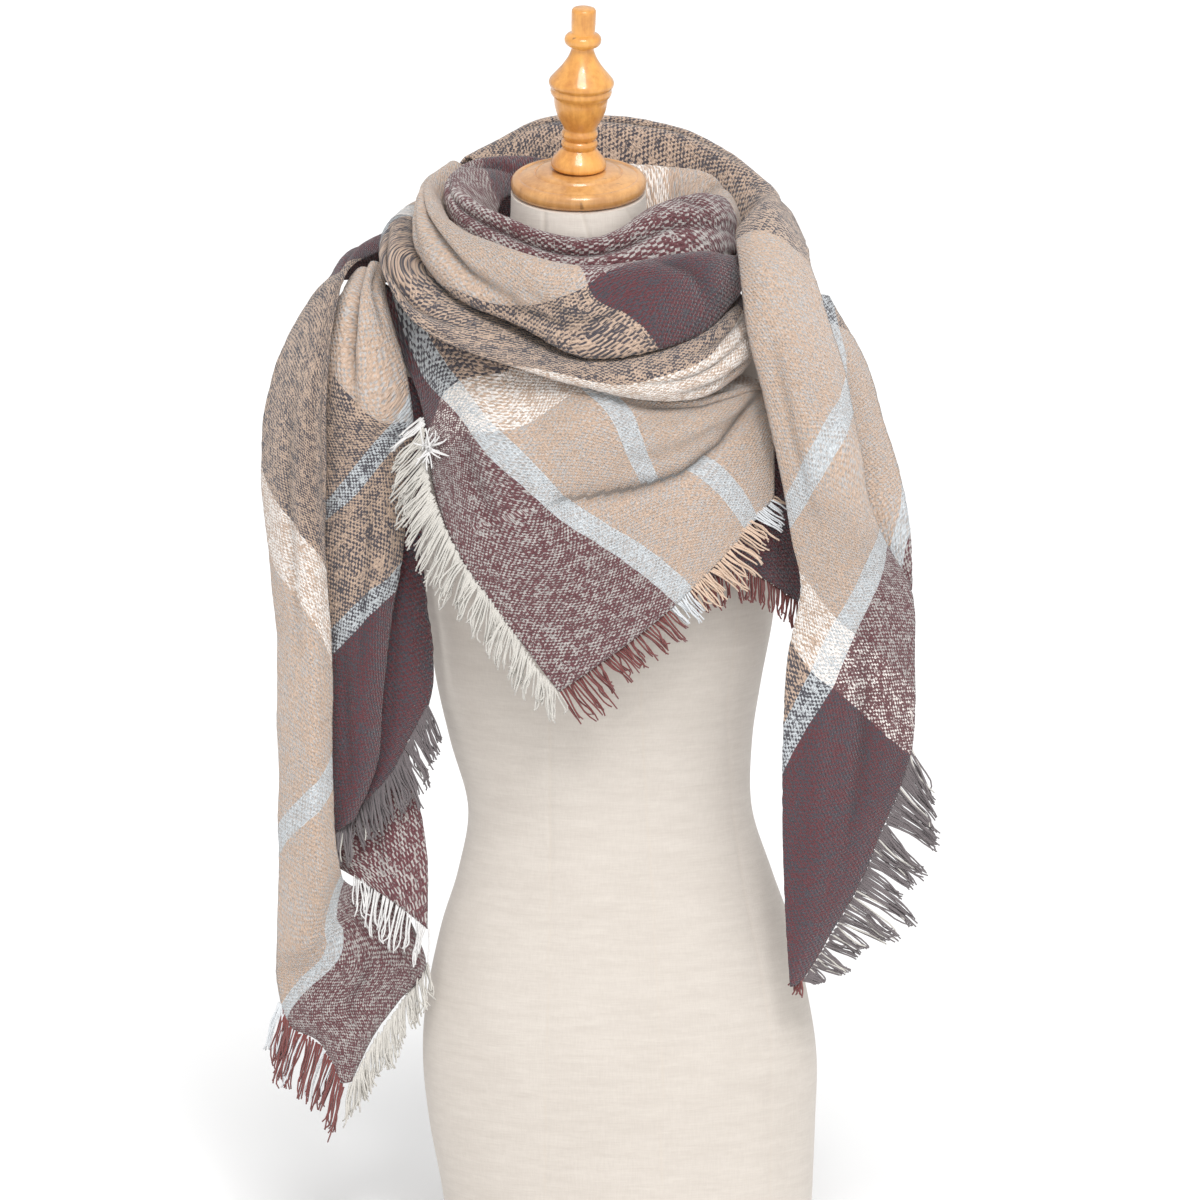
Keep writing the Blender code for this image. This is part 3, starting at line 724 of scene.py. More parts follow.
COWL_LOWER_WEAVE = [
    (5.34, 0.80, 370, 264), (6.05, 0.81, 420, 264), (6.55, 0.78, 452, 264), (7.05, 0.63, 478, 264),
    (7.70, 0.58, 510, 264), (8.32, 0.52, 542, 264), (8.68, 0.41, 565, 264), (6.6, 1.0, 450, 244),
    (7.5, 0.86, 498, 238), (4.84, 0.90, 345, 276), (4.18, 0.79, 315, 305), (3.50, 0.60, 288, 335),
    (2.55, 0.43, 284, 340), (1.9, 0.30, 270, 300), (1.75, 0.80, 240, 266), (0.0, 0.5, 226, 190),
    (5.3, 0.3, 375, 305), (8.2, 0.1, 545, 300), (4.2, 0.2, 325, 350), (2.8, 0.9, 262, 296),
]
cowl_lower = drape("cowl_lower", COWL_LOWER, COWL_LOWER_FOLDS, COWL_LOWER_WEAVE, roundness=0.75, seed=3)

# Front panel: one corner of the square hanging on the chest, selvedge side at the left
# and cut end at the lower right, both fringed; it goes up under the cowl.
FRONT_PANEL = [
    (-48, 143, 480, 43, 158, 552, 120, 120, 630),
    (-76, 146, 518, 23, 162, 584, 120, 114, 662),
    (-109, 144, 562, 0, 163, 620, 120, 108, 694),
    (-133, 132, 600, -12, 160, 646, 121, 104, 708),
    (-146, 112, 638, -16, 164, 672, 121, 102, 716),
    (-151, 98, 676, -16, 164, 694, 118, 98, 718),
    (-158, 78, 704, -18, 158, 708, 112, 90, 718),
    (-171, 57, 733, -21, 151, 718, 106, 80, 718),
    (-188, 14, 787, -24, 136, 732, 98, 74, 720),
]
FRONT_PANEL_FOLDS = [
    (-8, 8, ((3.1, 0.36), (2.75, 0.50), (2.45, 0.60), (2.15, 0.72), (2.3, 0.84), (3.3, 0.93), (4.3, 0.97))),
    (-5, 6, ((6.2, 0.56), (5.4, 0.68), (4.6, 0.80), (4.6, 0.95))),
    (-5, 6, ((7.0, 0.62), (6.2, 0.76), (5.8, 0.95))),
    (5, 12, ((4.2, 0.55), (3.6, 0.70), (3.6, 0.88))),
    (3, 14, ((5.4, 0.2), (4.0, 0.3), (2.4, 0.36))),
    (-3, 9, ((5.8, 0.10), (4.4, 0.12), (3.0, 0.16))),
]
FRONT_PANEL_WEAVE = [
    (0, 0, 0, 0), (1.7, 0, 0, 88), (2.9, 0, 0, 150), (4.3, 0, 0, 215),
    (0.3, 0.47, 119, 0), (1.85, 0.38, 119, 95), (3.0, 0.30, 119, 150), (4.9, 0.12, 119, 212),
    (5.8, 0.06, 119, 258), (7.4, 0.01, 119, 310), (1.9, 0.45, 143, 90), (3.0, 0.37, 143, 132),
    (5.0, 0.19, 143, 218), (6.5, 0.12, 143, 264), (7.1, 0.26, 170, 264), (6.8, 0.46, 230, 218),
    (2.55, 0.59, 230, 126), (6.5, 0.56, 254, 218), (2.4, 0.64, 254, 130), (2.1, 0.72, 230, 72),
    # the last two places, at the left edge, bring the charcoal weft down early so that the cloth there comes
    # out dark: painted shade for the shaded gap beside the left end
    (0.17, 0.83, 230, 0), (1.7, 0.81, 254, 70), (0, 0.90, 254, 0), (5.35, 0.0, 96, 282),
    (6.2, 0.0, 106, 300),
]
FRONT_VALLEY = (
    (0.0, 3.1), (0.36, 3.1), (0.50, 2.75), (0.60, 2.45), (0.72, 2.15), (0.84, 2.3), (0.93, 3.3), (1.0, 4.5),
)
front_panel = drape("front_panel", FRONT_PANEL, FRONT_PANEL_FOLDS, FRONT_PANEL_WEAVE, seed=4,
                    parted=FRONT_VALLEY)

# Second layer: the far corner of the folded square, a dark patch behind the panel, with
# its own fringed edge below.
FRONT_SECOND = [
    (54, 132, 559, 95, 110, 570, 140, 74, 540),
    (47, 130, 614, 98, 106, 622, 150, 70, 597),
    (39, 128, 677, 90, 100, 686, 151, 66, 668),
    (31, 108, 706, 84, 82, 710, 146, 58, 712),
]
FRONT_SECOND_FOLDS = [(-3, 8, ((0.2, 0.6), (1.5, 0.55), (2.8, 0.5)))]
FRONT_SECOND_WEAVE = [(0, 0, 112, -46), (0, 1, 10, -46), (3, 0, 112, -210), (3, 1, 10, -210)]
front_second = drape("front_second", FRONT_SECOND, FRONT_SECOND_FOLDS, FRONT_SECOND_WEAVE, seed=5)

# Right end: leaves the cowl, passes behind the neck as a thick roll, comes over the far
# shoulder and hangs flat in front, its side folded under, narrowing to a fringed tip.
RIGHT_TAIL = [
    (-112, -64, 860, -122, -74, 878, -136, -80, 852),
    (-60, -94, 872, -65, -112, 905, -72, -134, 868),
    (-20, -102, 870, -16, -124, 907, -14, -148, 866),
    (32, -94, 862, 41, -112, 900, 52, -136, 856),
    (76, -66, 846, 89, -78, 880, 108, -98, 838),
    (100, -12, 824, 121, -30, 855, 142, -38, 818),
    (91, 54, 831, 118, 40, 848, 147, 8, 816),
    (93, 100, 808, 121, 106, 814, 151, 70, 800),
    (98, 128, 764, 132, 136, 766, 167, 100, 752),
    (113, 138, 702, 147, 143, 703, 183, 108, 691),
    (127, 138, 639, 160, 139, 639, 192, 106, 635),
    (134, 134, 598, 174, 131, 598, 207, 106, 594),
    (141, 130, 558, 186, 122, 557, 229, 98, 553),
    (131, 118, 501, 184, 112, 500, 232, 95, 497),
    (128, 112, 436, 180, 105, 435, 231, 90, 432),
    (128, 106, 372, 173, 100, 371, 217, 86, 384),
    (130, 102, 307, 161, 98, 310, 191, 84, 320),
    (133, 100, 259, 148, 96, 262, 163, 86, 268),
    (135, 98, 235, 140, 95, 236, 145, 90, 239),
]
RIGHT_TAIL_FOLDS = [
    (3, 10, ((8.0, 0.80), (9.5, 0.82), (11.0, 0.78), (12.0, 0.72))),
    (-3, 9, ((8.2, 0.30), (9.2, 0.28), (10.4, 0.32))),
    (-3, 9, ((12.5, 0.55), (14.0, 0.60), (15.5, 0.62))),
    (2.5, 10, ((12.8, 0.25), (14.5, 0.28), (16.5, 0.35))),
    (-5, 7, ((0.6, 0.35), (2.5, 0.40), (4.2, 0.45))),
    (-4, 6, ((2.6, 0.72), (4.5, 0.70), (5.8, 0.62))),
    (-2, 3, ((6.6, 0.0), (8.4, 0.0), (10.0, 0.0))),
]
RIGHT_TAIL_WEAVE = [
    (17.9, 0.36, 0, -45), (17.0, 0.95, 0, -80), (16.4, 0.98, 0, -115), (15.3, 1.0, 0, -190),
    (14.2, 0.97, 0, -265),
    (14.5, 0.03, 119, -190), (13.33, 0.41, 119, -270), (12.15, 0.65, 119, -348), (11.2, 0.98, 119, -420),
    (13.14, 0.25, 143, -270), (12.13, 0.47, 143, -340), (10.9, 0.98, 143, -437),
    (12.7, 0.04, 170, -270), (11.7, 0.06, 200, -316),
    (10.6, 0.12, 230, -350), (9.2, 0.89, 230, -437), (10.0, 0.13, 254, -372), (8.8, 0.86, 254, -457),
    (6.25, 0.05, 394, -545), (6.6, 0.85, 340, -545),
    (3.0, 0.1, 468, -700), (3.0, 0.9, 400, -730), (0.0, 0.1, 544, -840), (0.0, 0.9, 500, -862),
]
right_tail = drape("right_tail", RIGHT_TAIL, RIGHT_TAIL_FOLDS, RIGHT_TAIL_WEAVE, roundness=0.2, seed=6)

# Turned edge of the right end: the cloth folded under, showing past its outer side from
# the shoulder down to where the end is widest.
RIGHT_FOLD = [
    (139, 60, 778, 153, 50, 781, 164, 35, 778),
    (142, 84, 754, 163, 76, 754, 181, 50, 752),
    (151, 98, 720, 176, 88, 718, 198, 62, 716),
    (157, 102, 681, 184, 94, 679, 209, 70, 677),
    (163, 102, 637, 193, 94, 635, 222, 76, 634),
    (169, 98, 593, 200, 92, 592, 229, 80, 590),
    (173, 92, 552, 203, 88, 552, 230, 80, 551),
]
RIGHT_FOLD_FOLDS = [(2, 8, ((0.5, 0.8), (3.0, 0.8), (5.5, 0.75)))]
RIGHT_FOLD_WEAVE = [
    (0.7, 0.54, 254, -540), (2.0, 0.37, 254, -492), (0.8, 0.86, 230, -543), (2.15, 0.52, 230, -490),
    (4.41, 0.96, 143, -400), (4.82, 0.82, 143, -392), (5.4, 0.70, 143, -380), (5.2, 0.95, 119, -390),
    (4.0, 0.2, 215, -410),
]
right_fold = drape("right_tail_fold", RIGHT_FOLD, RIGHT_FOLD_FOLDS, RIGHT_FOLD_WEAVE, seed=7)

# Left end: crosses low behind the neck, comes over the near shoulder and hangs as a long
# rounded column whose foot opens into a fringed corner of the square.
LEFT_TAIL = [
    (72, -104, 792, 76, -114, 822, 70, -106, 840),
    (-20, -122, 780, -18, -138, 812, -18, -132, 846),
    (-110, -96, 782, -106, -112, 812, -98, -106, 842),
    (-180, -50, 780, -168, -56, 816, -144, -64, 838),
    (-220, -14, 786, -207, -14, 815, -186, -16, 812),
    (-235, 18, 783, -225, 22, 796, -214, 12, 799),
    (-255, 30, 759, -237, 55, 779, -223, 62, 776),
    (-275, 45, 714, -251, 84, 719, -231, 84, 719),
    (-283, 52, 651, -256, 97, 657, -231, 92, 656),
    (-278, 50, 578, -254, 97, 585, -231, 92, 584),
    (-272, 46, 497, -250, 92, 504, -228, 88, 503),
    (-272, 42, 408, -250, 86, 415, -228, 82, 415),
    (-272, 38, 327, -248, 80, 334, -225, 76, 334),
    (-273, 36, 262, -245, 70, 273, -214, 54, 308),
    (-274, 35, 243, -231, 59, 262, -188, 38, 308),
    (-274, 35, 225, -217, 50, 241, -156, 36, 244),
    (-266, 38, 192, -226, 50, 208, -177, 38, 212),
    (-240, 42, 178, -218, 50, 183, -197, 40, 184),
    (-224, 48, 146, -220, 50, 146, -215, 48, 147),
]
LEFT_TAIL_FOLDS = [
    (-3, 7, ((7.0, 0.45), (8.5, 0.42), (10.0, 0.45))),
    (2, 9, ((9.5, 0.65), (11.5, 0.62), (13.0, 0.6))),
    (-3, 7, ((14.7, 0.62), (15.6, 0.60), (16.6, 0.62))),
    (-4, 6, ((3.2, 0.5), (4.4, 0.55), (5.4, 0.6))),
    # a shallow groove at the outer edge, mostly for the painted shade it brings where this column lies over
    # the inner one
    (-2, 3, ((5.6, 0.99), (9.0, 1.0), (13.2, 1.0))),
]
LEFT_TAIL_WEAVE = [
    (16.0, 0.02, 119, 0), (15.6, 0.02, 143, 5), (14.8, 0.47, 119, 69), (13.4, 0.60, 143, 80),
    (11.9, 0.14, 230, 88), (11.6, 0.14, 254, 100), (11.4, 0.89, 230, 144), (11.1, 0.88, 254, 158),
    (9.2, 0.13, 385, 218), (10.0, 0.86, 314, 216), (8.3, 0.12, 460, 264), (9.1, 0.85, 364, 264),
    (17.9, 0.5, 0, 0), (17.4, 0.84, 0, 35), (15.2, 0.91, 0, 124), (14.0, 0.95, 42, 158),
    (6.1, 0.02, 600, 352), (5.2, 0.35, 600, 425), (4.8, 0.8, 600, 462), (7.4, 0.9, 490, 390),
    (3.3, 0.3, 690, 540), (0.5, 0.5, 880, 730),
]
left_tail = drape("left_tail", LEFT_TAIL, LEFT_TAIL_FOLDS, LEFT_TAIL_WEAVE, roundness=0.35, seed=8)

# Inner column of the left end: the next pleat of the same cloth, rolled over at the top
# and cut off below by the slant of the fringed edge.
LEFT_INNER = [
    (-217, -1, 784, -202, 10, 802, -187, 5, 798),
    (-224, 40, 772, -203, 60, 786, -184, 50, 774),
    (-234, 56, 739, -202, 82, 743, -174, 67, 740),
    (-237, 66, 692, -200, 90, 696, -164, 74, 694),
    (-238, 70, 637, -202, 90, 640, -167, 76, 638),
    (-238, 70, 573, -205, 88, 576, -173, 74, 574),
    (-236, 66, 509, -210, 82, 511, -184, 70, 509),
    (-235, 62, 452, -212, 76, 454, -189, 66, 456),
    (-234, 60, 403, -213, 70, 406, -193, 60, 411),
    (-228, 58, 351, -220, 62, 357, -211, 58, 363),
]
LEFT_INNER_FOLDS = [
    (-12, 4.5, ((0.0, 0.50), (0.5, 0.44), (1.2, 0.38), (2.0, 0.34), (2.9, 0.40))),
    (-6, 4, ((0.2, 0.78), (0.9, 0.74), (1.6, 0.78))),
    (-3, 6, ((3.6, 0.55), (5.0, 0.6), (6.5, 0.6))),
    (-3, 6, ((6.0, 0.4), (7.2, 0.45), (8.4, 0.5))),
]
LEFT_INNER_WEAVE = [
    (2.9, 0.96, 254, -534), (3.4, 0.68, 254, -560), (4.3, 0.15, 254, -631), (3.55, 0.82, 230, -556),
    (4.5, 0.17, 230, -639),
    (5.26, 0.89, 143, -615), (5.9, 0.24, 143, -677), (5.5, 0.93, 119, -621), (6.2, 0.30, 119, -681),
    (3.2, 0.68, 266, -534), (2.7, 0.45, 298, -530), (2.0, 0.23, 334, -527), (0.2, 0.5, 366, -462),
    (9.0, 0.5, 0, -775),
]
left_inner = drape("left_inner", LEFT_INNER, LEFT_INNER_FOLDS, LEFT_INNER_WEAVE, roundness=0.25, seed=9)

# Narrow strip behind it, then the short layer: the pleats further in, each cut off by
# the slant of the fringed edge.
LEFT_STRIP = [
    (-176, 46, 716, -162, 58, 717, -146, 62, 716),
    (-180, 47, 678, -163, 58, 679, -147, 66, 678),
    (-183, 48, 640, -172, 55, 641, -155, 56, 640),
    (-186, 50, 594, -174, 57, 595, -158, 51, 594),
    (-194, 50, 538, -174, 60, 540, -154, 50, 538),
    (-197, 48, 497, -173, 58, 499, -149, 46, 499),
    (-202, 46, 457, -176, 54, 458, -151, 44, 459),
    (-207, 44, 416, -186, 50, 421, -167, 44, 428),
    (-213, 44, 384, -198, 48, 389, -184, 44, 396),
    (-219, 44, 364, -213, 46, 367, -206, 44, 372),
]
LEFT_STRIP_FOLDS = [(-2, 6, ((2.8, 0.4), (5.5, 0.4), (8.0, 0.5)))]
LEFT_STRIP_WEAVE = [
    (0, 0, 95, -565), (0, 1, 65, -560), (6, 0, 95, -770), (6, 1, 45, -750), (9, 0.5, 10, -860),
]
left_strip = drape("left_strip", LEFT_STRIP, LEFT_STRIP_FOLDS, LEFT_STRIP_WEAVE, seed=10)

LEFT_SHORT = [
    (-214, 30, 422, -187, 36, 421, -171, 32, 418),
    (-228, 32, 374, -189, 42, 376, -161, 38, 374),
    (-231, 36, 335, -189, 50, 332, -154, 44, 326),
    (-229, 44, 323, -185, 56, 298, -154, 50, 272),
]
LEFT_SHORT_FOLDS = [(-2.5, 7, ((0.3, 0.5), (1.5, 0.45), (2.7, 0.5)))]
LEFT_SHORT_WEAVE = [(0, 0, 112, 70), (0, 1, 76, 112), (3, 0, 30, 0), (3, 1, 0, 68)]
left_short = drape("left_short", LEFT_SHORT, LEFT_SHORT_FOLDS, LEFT_SHORT_WEAVE, seed=11)

# Fringes: the cloth's own yarns, left long and combed out. The cut ends show warp yarns
# and the side edges weft yarns, so each fringe takes the colours of its own bands.
FRINGE_RADIUS = 0.00085
FRINGE_SIDES = 4
FRINGE_PARTS = 7
FRINGES = {
    # name: slot, yarns, band places at the first and last row, spacing, yarns to a bunch and how far
    # they gather, rows of base, middle and tip
    "fringe_front_left": ("yarn_pale_grey", "weft", (226, 4), 0.95, (3, 8), 0.35, [
        (-160, 96, 690, -168, 98, 682, -177, 100, 674),
        (-152, 118, 632, -162, 118, 616, -170, 117, 598),
        (-129, 138, 582, -134, 138, 567, -137, 137, 551),
        (-101, 147, 543, -102, 147, 528, -103, 146, 512),
        (-71, 146, 498, -72, 146, 486, -73, 145, 473),
        (-54, 144, 478, -49, 144, 467, -44, 143, 457),
    ]),
    "fringe_front_right": ("yarn_maroon", "warp", (4, 262), 1.75, (2, 5), 0.40, [
        (-46, 143, 477, -37, 144, 464, -27, 143, 452),
        (0, 153, 512, 8, 153, 503, 16, 152, 494),
        (44, 158, 548, 51, 157, 541, 58, 155, 533),
        (81, 147, 582, 90, 146, 574, 100, 144, 565),
        (102, 134, 608, 111, 132, 602, 121, 130, 595),
        (122, 119, 629, 127, 118, 627, 133, 117, 624),
    ]),
    "fringe_second": ("yarn_maroon", "warp", (110, 10), 1.7, (2, 5), 0.45, [
        (56, 132, 556, 58, 132, 547, 60, 131, 538),
        (95, 110, 566, 96, 110, 556, 98, 109, 546),
        (138, 75, 537, 138, 75, 529, 137, 75, 521),
    ]),
    "fringe_left_foot": ("yarn_maroon", "warp", (135, 4), 1.15, (2, 5), 0.35, [
        (-277, 35, 208, -280, 35, 192, -283, 34, 160),
        (-264, 39, 184, -268, 40, 162, -271, 40, 140),
        (-242, 43, 170, -247, 43, 148, -251, 43, 126),
        (-226, 48, 140, -229, 48, 118, -232, 48, 96),
    ]),
    "fringe_left_side": ("yarn_pale_grey", "weft", (130, 6), 1.0, (4, 9), 0.35, [
        (-151, 37, 240, -150, 42, 227, -149, 46, 213),
        (-171, 39, 206, -171, 42, 192, -171, 45, 178),
        (-191, 42, 178, -191, 43, 162, -191, 44, 146),
        (-212, 48, 142, -215, 48, 130, -218, 48, 116),
    ]),
    "fringe_left_inner": ("yarn_charcoal", "weft", (-600, -780), 0.85, (5, 11), 0.40, [
        (-150, 45, 456, -146, 46, 442, -141, 47, 428),
        (-164, 46, 422, -159, 50, 407, -154, 52, 392),
        (-183, 46, 391, -180, 53, 376, -176, 56, 360),
        (-207, 48, 366, -207, 56, 353, -206, 60, 340),
        (-224, 60, 345, -226, 62, 332, -228, 64, 318),
    ]),
    "fringe_left_short": ("yarn_pale_grey", "weft", (262, 222), 2.1, (2, 5), 0.50, [
        (-217, 50, 317, -214, 60, 305, -213, 66, 291),
        (-184, 57, 294, -185, 61, 278, -186, 62, 261),
        (-155, 51, 268, -156, 53, 254, -157, 55, 239),
    ]),
    "fringe_right_tail": ("yarn_charcoal", "weft", (-266, -44), 1.0, (8, 20), 0.55, [
        (234, 89, 426, 241, 86, 408, 248, 82, 388),
        (221, 85, 380, 233, 82, 366, 246, 78, 352),
        (195, 83, 316, 210, 80, 303, 226, 76, 288),
        (167, 85, 263, 179, 82, 256, 192, 78, 248),
        (148, 89, 235, 151, 88, 233, 154, 87, 231),
    ]),
}
# the odd yarn of another colour, combed in from the next band: its place and its share
STRAYS = {
    "fringe_right_tail": (-420, 0.10),
    "fringe_left_inner": (-420, 0.05),
    "fringe_left_foot": (130, 0.10),
}
EDGES = np.array([0.0, 1.0])  # the base and the tip of a fringe, as places across it
ROOT_DEPTH = (3.5, 6.5)  # millimetres inside the edge at which a yarn starts
BUNCH_REACH = (0.72, 1.12)
YARN_REACH = (0.86, 1.1)
FULL_SWING = np.array([1.8, 1.3, 1.2])
LONG_YARN = 22.0  # a yarn this long swings in full, a longer one up to MOST_SWING
MOST_SWING = 1.3
random_yarns = np.random.default_rng(27)


def tube_points(path):
    """Rings of a thin tube that tapers a little towards its end."""
    path = np.array(path)
    heading = np.gradient(path, axis=0)
    heading /= np.maximum(np.linalg.norm(heading, axis=1, keepdims=True), 1e-9)
    side = np.cross(heading, (0.0, 1.0, 0.0))
    side /= np.maximum(np.linalg.norm(side, axis=1, keepdims=True), 1e-9)
    other = np.cross(heading, side)
    taper = np.linspace(1.0, 0.7, len(path))[:, None] * FRINGE_RADIUS
    turns = 2 * np.pi * np.arange(FRINGE_SIDES) / FRINGE_SIDES
    ring = side[:, None, :] * np.cos(turns)[None, :, None] + other[:, None, :] * np.sin(turns)[None, :, None]
    return (path[:, None, :] + taper[:, None] * ring).reshape(-1, 3)


def yarns(name, strands):
    """One mesh of separate yarns, each a thin tube: a list of (path in metres, band place)."""
    points, faces, bands = [], [], []
    for path, band in strands:
        base = len(points)
        points += [tuple(p) for p in tube_points(path)]
        parts = len(path)
        for i in range(parts - 1):
            for j in range(FRINGE_SIDES):
                k = (j + 1) % FRINGE_SIDES
                low, high = base + i * FRINGE_SIDES, base + (i + 1) * FRINGE_SIDES
                faces.append((low + j, high + j, high + k, low + k))
                bands += [(band, (i + step) / parts) for step in (0, 1, 1, 0)]
        faces.append(tuple(base + j for j in range(FRINGE_SIDES)))
        bands += [(band, 0.0)] * FRINGE_SIDES
        faces.append(tuple(base + (parts - 1) * FRINGE_SIDES + j for j in range(FRINGE_SIDES))[::-1])
        bands += [(band, 1.0)] * FRINGE_SIDES
    made = place_mesh(name, points, faces)
    layer = made.data.uv_layers.new(name="yarn")
    layer.data.foreach_set("uv", np.array(bands, np.float32).reshape(-1))
    return made


def yarn_finish(name, bands):
    """Loose spun yarn in the colour of its band, with a soft fibrous surface."""
    made, start, link = finish(name, 0.9, Sheen_Weight=0.3, Sheen_Roughness=0.5)
    where = start.node("UVMap", {"uv_map": "yarn"})
    fibres = start.place().speckle(900, 2, 0.6)
    shade = start.place().speckle(60, 2)
    colour = band_ramp(where.axis(0) * UV_SCALE, bands).tint(0.62 + fibres * 0.5 + shade * 0.3)
    link(colour, fibres, 0.0004, 0.6)
    return made


LOOSE = {
    # combed out, each yarn looks paler or warmer than in the cloth
    MAROON: (0.180, 0.046, 0.042), PEACH: (0.66, 0.49, 0.37), BLUE_WHITE: (0.66, 0.68, 0.70),
    PALE_GREY: (0.60, 0.575, 0.53), WARM_WHITE: (0.76, 0.75, 0.74), CHARCOAL: (0.165, 0.140, 0.145),
}
WARP_YARN = yarn_finish("warp_yarn", [(at, LOOSE[paint]) for at, paint in WARP_BANDS])
WEFT_YARN = yarn_finish("weft_yarn", [(at, LOOSE[paint]) for at, paint in WEFT_BANDS])


def comb(name, slot, kind, bands, spacing, bunch, gather, rows):
    """A fringe: yarns from its base edge to its tips, gathered a few at a time."""
    fine, length, _ = along_cloth(rows, 0.0, False, 0, len(rows) - 1)
    count = int(length[-1] / spacing)
    strands = []
    while len(strands) < count:
        cluster = int(random_yarns.integers(*bunch))
        centre = (len(strands) + cluster / 2) / count
        reach = random_yarns.uniform(*BUNCH_REACH)
        here = sections(rows, np.interp([centre * length[-1]], length, fine), EDGES, 0.0)[0]
        loose = min(np.linalg.norm(here[1] - here[0]) / LONG_YARN, MOST_SWING)
        swing = random_yarns.normal(0, 1.0, 3) * FULL_SWING * loose
        for _ in range(min(cluster, count - len(strands))):
            at = min((len(strands) + random_yarns.uniform(0.1, 0.9)) / count, 1.0)
            gathered = at + (centre - at) * gather
            place = np.interp(np.array([at, gathered]) * length[-1], length, fine)
            root, end = sections(rows, place[:1], EDGES, 0.0)[0]
            step = np.clip(place[0] + np.array([-0.08, 0.08]), 0, len(rows) - 1)
            line = np.diff(sections(rows, step, EDGES[:1], 0.0)[:, 0], axis=0)[0]
            line /= np.linalg.norm(line)
            off = end - root - line * np.dot(end - root, line)
            root = root - off / np.linalg.norm(off) * random_yarns.uniform(*ROOT_DEPTH)
            half, full = sections(rows, place[1:], np.array([0.5, 1.0]), 0.0)[0]
            far = reach * random_yarns.uniform(*YARN_REACH)
            tip = half + (full - half) * (2 * far - 1)
            tip = tip + swing + random_yarns.normal(0, 0.8, 3) * loose
            middle = root * 0.42 + tip * 0.58 + swing * 0.35 + random_yarns.normal(0, 0.9, 3) * loose
            wave = random_yarns.normal(0, 1.1, 3) * loose
            pulled = 2 * middle - (root + tip) / 2
            path = []
            for t in np.linspace(0, 1, FRINGE_PARTS):
                point = root * (1 - t) ** 2 + pulled * 2 * t * (1 - t) + tip * t ** 2
                path.append((point + wave * math.sin(7 * t) * t) / MM)
            band = bands[0] + (bands[1] - bands[0]) * at
            if name in STRAYS and random_yarns.random() < STRAYS[name][1]:
                band = STRAYS[name][0]
            strands.append((path, band / UV_SCALE))
    made = yarns(name, strands)
    made.data.materials.append(WARP_YARN if kind == "warp" else WEFT_YARN)
    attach(made, "root")
    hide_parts("scarf_" + name)
    return made


def tuft(name, node, material, band, heart, reach, count, fan):
    """A few stray yarns that stand out from one place, each bent its own way."""
    strands = []
    for _ in range(count):
        turn_by = math.radians(random_yarns.uniform(*fan))
        far = random_yarns.uniform(0.5, 1.0) * reach
        start_at = np.array(heart) + random_yarns.normal(0, 1.6, 3)
        heading = np.array([math.cos(turn_by), random_yarns.uniform(-0.35, 0.05), math.sin(turn_by)])
        end_at = start_at + far * heading
        bow = (start_at + end_at) / 2 + random_yarns.normal(0, far * 0.14, 3)
        path = [
            (start_at * (1 - t) ** 2 + bow * 2 * t * (1 - t) + end_at * t ** 2) / MM
            for t in np.linspace(0, 1, FRINGE_PARTS)
        ]
        strands.append((path, band / UV_SCALE))
    made = yarns(name, strands)
    made.data.materials.append(material)
    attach(made, "root")
    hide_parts(node)
    return made


fringe = {name: comb(name, *row) for name, row in FRINGES.items()}
# stray ends: white ones frayed from the panel's side edge, and maroon ones at the very tip
# of the right end
fringe["frayed_white"] = tuft("frayed_white", "scarf_fringe_front_left", WEFT_YARN, 230,
                              (-150, -113, 667), 19, 22, (-200, 110))
fringe["tip_maroon"] = tuft("tip_maroon", "scarf_fringe_right_tail", WARP_YARN, 40,
                            (142, -90, 240), 16, 16, (-130, -60))

dress(neck_roll, ["scarf_neck_roll"])
dress(cowl_upper, ["scarf_cowl_upper"])
dress(cowl_lower, ["scarf_cowl_lower"])
dress(front_panel, ["scarf_front_panel"])
dress(front_second, ["scarf_front_second"])
dress(right_tail, ["scarf_right_tail"])
dress(right_fold, ["scarf_right_tail_fold"])
dress(left_tail, ["scarf_left_tail"])
dress(left_inner, ["scarf_left_inner"])
dress(left_strip, ["scarf_left_strip"])
dress(left_short, ["scarf_left_short"])

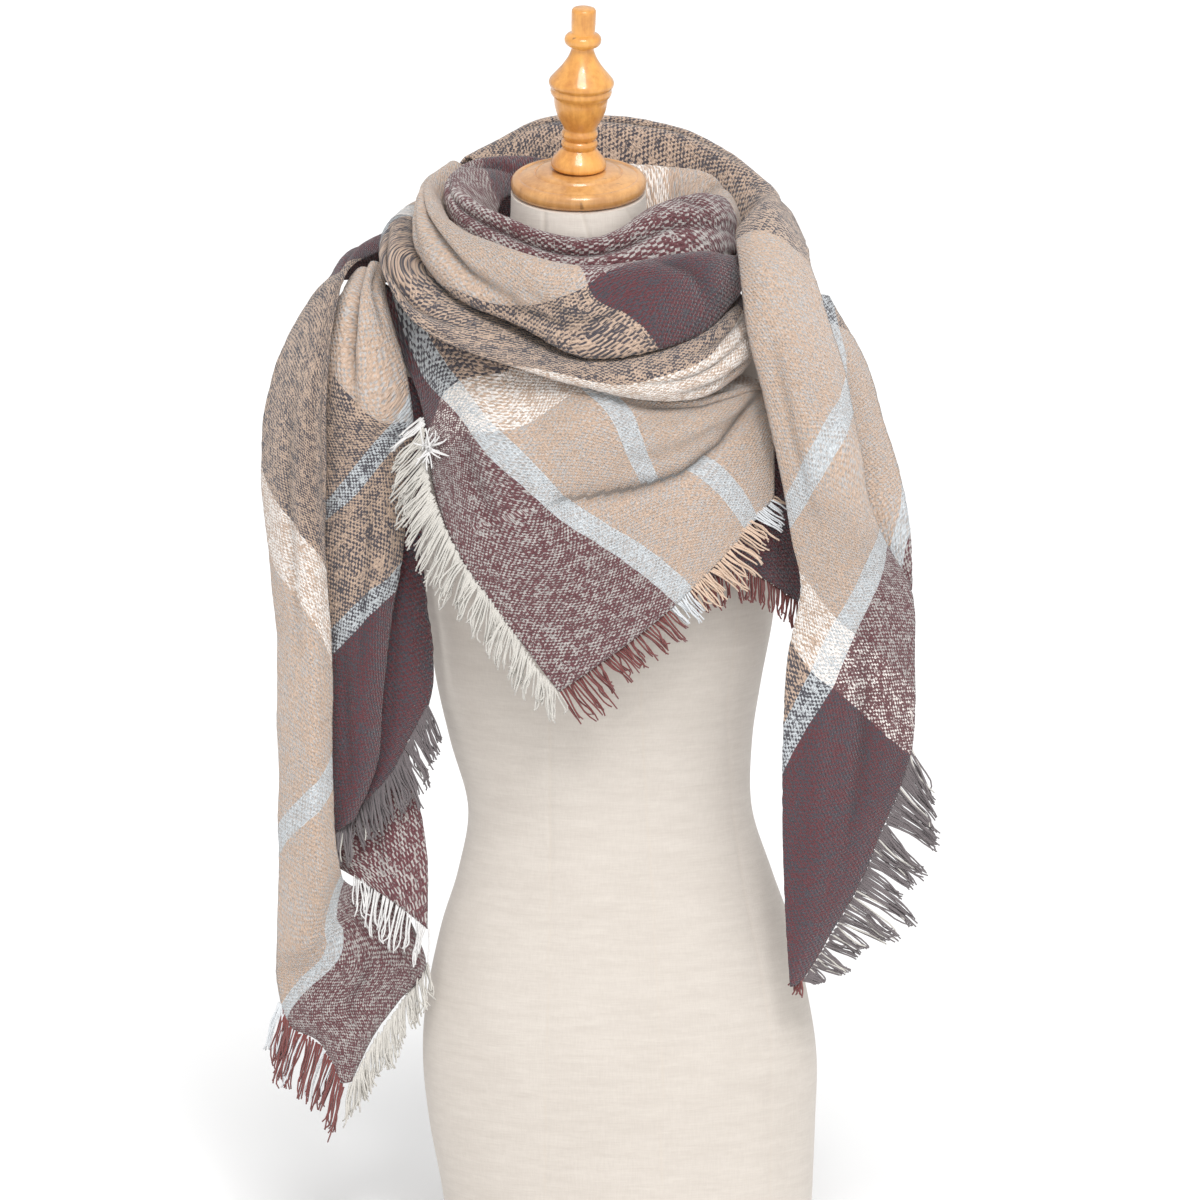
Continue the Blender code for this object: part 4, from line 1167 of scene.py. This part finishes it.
# Studio: a pale, even floor and a bright surround, lit by two broad soft suns and a
# narrower one that gives the varnish its shine, seen through a long lens.
FLOOR_SIZE = 60.0
FLOOR_DROP = -0.0005
floor = place_mesh("floor", [
    (side * FLOOR_SIZE, depth * FLOOR_SIZE, FLOOR_DROP)
    for side, depth in ((-1, -1), (1, -1), (1, 1), (-1, 1))
], [(0, 1, 2, 3)], smooth=False)
floor_finish, start, link = finish("floor_paper", 0.9)
link((start.place().speckle(3, 2) * 0.02 + 0.98).mix((0.95, 0.95, 0.95), (0.97, 0.97, 0.97)))
floor.data.materials.append(floor_finish)

world = bpy.data.worlds.new("surround")
bpy.context.scene.world = world
world.use_nodes = True
background = world.node_tree.nodes["Background"]
background.inputs["Color"].default_value = (1.0, 1.0, 1.0, 1.0)
background.inputs["Strength"].default_value = 0.76


def soft_sun(name, strength, turn_deg, tip_deg, spread_deg):
    """A broad light from one direction: turned round the object, then tipped from overhead."""
    light = bpy.data.lights.new(name, "SUN")
    light.energy = strength
    light.angle = math.radians(spread_deg)
    made = bpy.data.objects.new(name, light)
    made.rotation_euler = (math.radians(tip_deg), 0, math.radians(turn_deg))
    bpy.context.scene.collection.objects.link(made)


soft_sun("key", 1.55, 4, 44, 26)
soft_sun("fill", 0.30, 30, 62, 60)
soft_sun("sparkle", 0.30, 12, 50, 7)

CAMERA_AIM = Vector((-0.016, 0.0, 0.530))
CAMERA_RISE = math.radians(9.0)
CAMERA_DISTANCE = 6.0
VIEW_WIDTH = 0.96
SENSOR_WIDTH = 36.0
camera_data = bpy.data.cameras.new("camera")
camera_data.sensor_width = SENSOR_WIDTH
camera_data.lens = SENSOR_WIDTH * CAMERA_DISTANCE / VIEW_WIDTH
camera_data.clip_end = 200.0
camera = bpy.data.objects.new("camera", camera_data)
camera.location = CAMERA_AIM + CAMERA_DISTANCE * Vector((0, -math.cos(CAMERA_RISE), math.sin(CAMERA_RISE)))
camera.rotation_euler = (math.radians(90) - CAMERA_RISE, 0, 0)
bpy.context.scene.collection.objects.link(camera)
bpy.context.scene.camera = camera
bpy.context.scene.view_settings.view_transform = "Standard"
